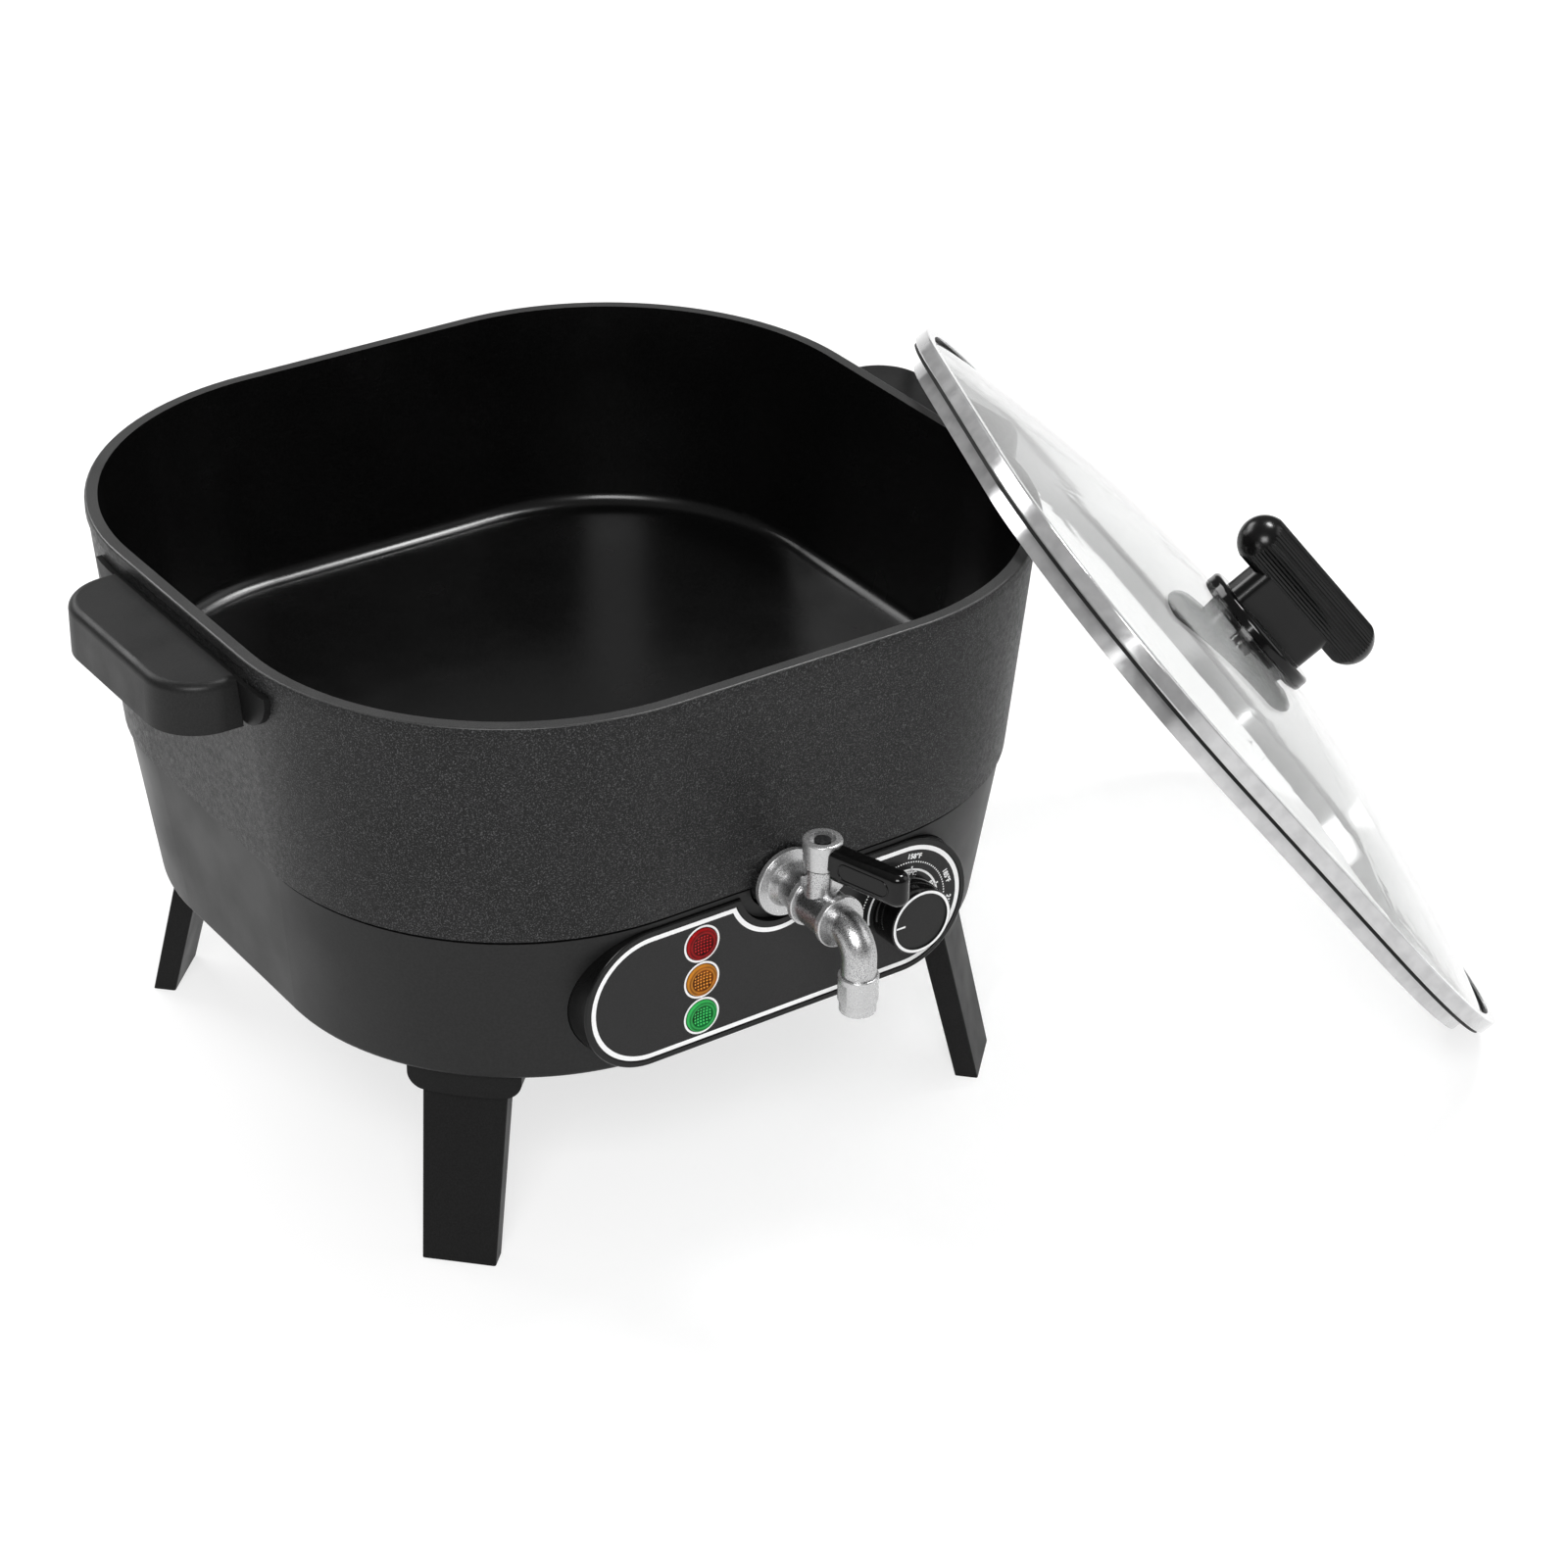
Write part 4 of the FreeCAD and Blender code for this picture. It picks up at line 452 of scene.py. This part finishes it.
dial_band("print_scale", SCALE_R + SCALE_HALF, SCALE_R - SCALE_HALF, SCALE_START, SCALE_END, 90)
for turn, celsius, fahrenheit in MARKS:
    dial_band("print_tick_" + celsius, SCALE_R + TICK_REACH, SCALE_R - TICK_FOOT, turn - TICK_HALF_TURN,
              turn + TICK_HALF_TURN, 4)
    dial_figure(celsius + "°C", SCALE_R - CELSIUS_INSET, turn, CELSIUS_HEIGHT)
    dial_figure(fahrenheit + "°F", DOTS_R + FAHRENHEIT_OUTSET, turn, FAHRENHEIT_HEIGHT)


def dot_row():
    points, faces = [], []
    for x, z in arc(DIAL_X, PANEL_Z, DOTS_R, DOTS_START, SCALE_END, DOTS):
        first = len(points)
        points.extend((x + dx, ink_y, z + dz) for dx, dz in arc(0.0, 0.0, DOT_R, 0.0, 315.0, 8))
        faces.append(tuple(range(first + 7, first - 1, -1)))
    return add_mesh("print_dots", points, faces, INK, "chassis")


dot_row()

knob_ink_y = KNOB_FRONT_Y - PRINT_RAISE
ring("print_knob_ring", DIAL_X, PANEL_Z, KNOB_RING, knob_ink_y, "dial", "gloss_black")
pointer_sides = [[(DIAL_X - reach, PANEL_Z + side * POINTER_HALF) for reach in POINTER] for side in (1, -1)]
strip("print_knob_pointer", *pointer_sides, knob_ink_y + KNOB_DISH, False, "dial", "gloss_black")


# Moulded outline on each side of the tap's lever

def outline_bead(name, side):
    """A thin raised line round the lever's flank: a closed tube with round ends."""
    low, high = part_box("tap_lever")
    place = (Matrix.Translation((0.0, STEM_Y * MM, (low[2] + high[2]) / 2))
             @ Matrix.Rotation(math.radians(LEVER_ANGLE), 4, "Z"))
    path = arc(BEAD_END, 0.0, BEAD_HALF, 0.0, 180.0, 12) + arc(BEAD_START, 0.0, BEAD_HALF, 180.0, 360.0, 12)
    points = []
    for i, (x, z) in enumerate(path):
        ahead = Vector(path[(i + 1) % len(path)]) - Vector(path[i - 1])
        across = Vector((ahead.y, -ahead.x)).normalized()
        for out, up in arc(0.0, 0.0, BEAD_R, 0.0, 315.0, 8):
            spot = place @ (Vector((x + across.x * out, side * (LEVER_HALF + up), z + across.y * out)) * MM)
            points.append(tuple(spot / MM))
    faces = []
    for i in range(len(path)):
        for k in range(8):
            j = (i + 1) % len(path)
            corners = (8 * i + k, 8 * i + (k + 1) % 8, 8 * j + (k + 1) % 8, 8 * j + k)
            faces.append(corners[::-side])
    bead = add_mesh(name, points, faces, GLOSS, "tap_valve")
    bead.data.shade_smooth()


outline_bead("lever_bead_left", -1)
outline_bead("lever_bead_right", 1)


# Smooth shading on every curved face

for node in nodes.values():
    node.data.shade_smooth()
    node.data.set_sharp_from_angle(angle=math.radians(SMOOTH_ANGLE))


# Stage

def floor():
    mesh = bpy.data.meshes.new("floor")
    corners = ((-1, -1), (1, -1), (1, 1), (-1, 1))
    mesh.from_pydata([(x * FLOOR_HALF, y * FLOOR_HALF, -FLOOR_DROP) for x, y in corners], [], [(0, 1, 2, 3)])
    finish = Finish("pale_floor")
    cloud = finish.noise(400.0, 2.0)
    finish.colour(finish.ramp(cloud, (0.3, grey(0.29)), (0.7, grey(0.31))))
    finish.rough(cloud, 0.6, 0.7)
    finish.shader.inputs["Emission Color"].default_value = (1.0, 1.0, 1.0, 1.0)
    finish.shader.inputs["Emission Strength"].default_value = 0.72
    mesh.materials.append(finish.material)
    plane = bpy.data.objects.new("floor", mesh)
    scene.collection.objects.link(plane)


def softbox(name, place, target, width, height, power):
    light = bpy.data.lights.new(name, "AREA")
    light.shape = "RECTANGLE"
    light.size = width
    light.size_y = height
    light.energy = power
    lamp = bpy.data.objects.new(name, light)
    lamp.location = place
    lamp.rotation_euler = (Vector(target) - Vector(place)).to_track_quat("-Z", "Y").to_euler()
    scene.collection.objects.link(lamp)


def camera():
    azimuth, elevation, roll = (math.radians(a) for a in CAMERA_ANGLES)
    back = Vector((math.sin(azimuth) * math.cos(elevation), -math.cos(azimuth) * math.cos(elevation),
                   math.sin(elevation)))
    right = Vector((math.cos(azimuth), math.sin(azimuth), 0.0))
    up = back.cross(right)
    across = math.cos(roll) * right + math.sin(roll) * up
    above = math.cos(roll) * up - math.sin(roll) * right
    data = bpy.data.cameras.new("camera")
    data.sensor_width = SENSOR
    data.lens = SENSOR * FOCAL_SHARE
    holder = bpy.data.objects.new("camera", data)
    place = Matrix((across, above, back)).transposed().to_4x4()
    place.translation = Vector(CAMERA_TARGET) + back * CAMERA_DISTANCE
    holder.matrix_world = place
    scene.collection.objects.link(holder)
    scene.camera = holder


def studio_sky():
    """A pale surround, brighter overhead than low down, with a haze where it meets the floor."""
    world = bpy.data.worlds.new("studio")
    world.use_nodes = True
    tree = world.node_tree
    coords = tree.nodes.new("ShaderNodeTexCoord")
    split = tree.nodes.new("ShaderNodeSeparateXYZ")
    ramp = tree.nodes.new("ShaderNodeValToRGB")
    elements = ramp.color_ramp.elements
    elements.new(0.04)
    elements.new(0.07)
    for element, value in zip(elements, (0.8, 0.8, 0.108, 0.342)):
        element.color = (*grey(value), 1.0)
    tree.links.new(coords.outputs["Generated"], split.inputs[0])
    tree.links.new(split.outputs["Z"], ramp.inputs["Fac"])
    tree.links.new(ramp.outputs["Color"], tree.nodes["Background"].inputs["Color"])
    tree.nodes["Background"].inputs["Strength"].default_value = 1.0
    scene.world = world


floor()
studio_sky()
softbox("key", (-1.1, -1.5, 1.7), (0.0, 0.0, 0.12), 1.0, 0.8, 40.0)
softbox("fill", (1.9, -1.0, 1.2), (0.1, 0.0, 0.12), 1.6, 1.6, 13.0)
softbox("back", (-0.4, 1.9, 1.5), (0.0, 0.0, 0.15), 1.6, 0.8, 28.0)
softbox("overhead", (0.85, 0.1, 1.7), (0.0, 0.05, 0.14), 0.5, 0.35, 22.0)
scene.view_settings.view_transform = "Standard"
camera()
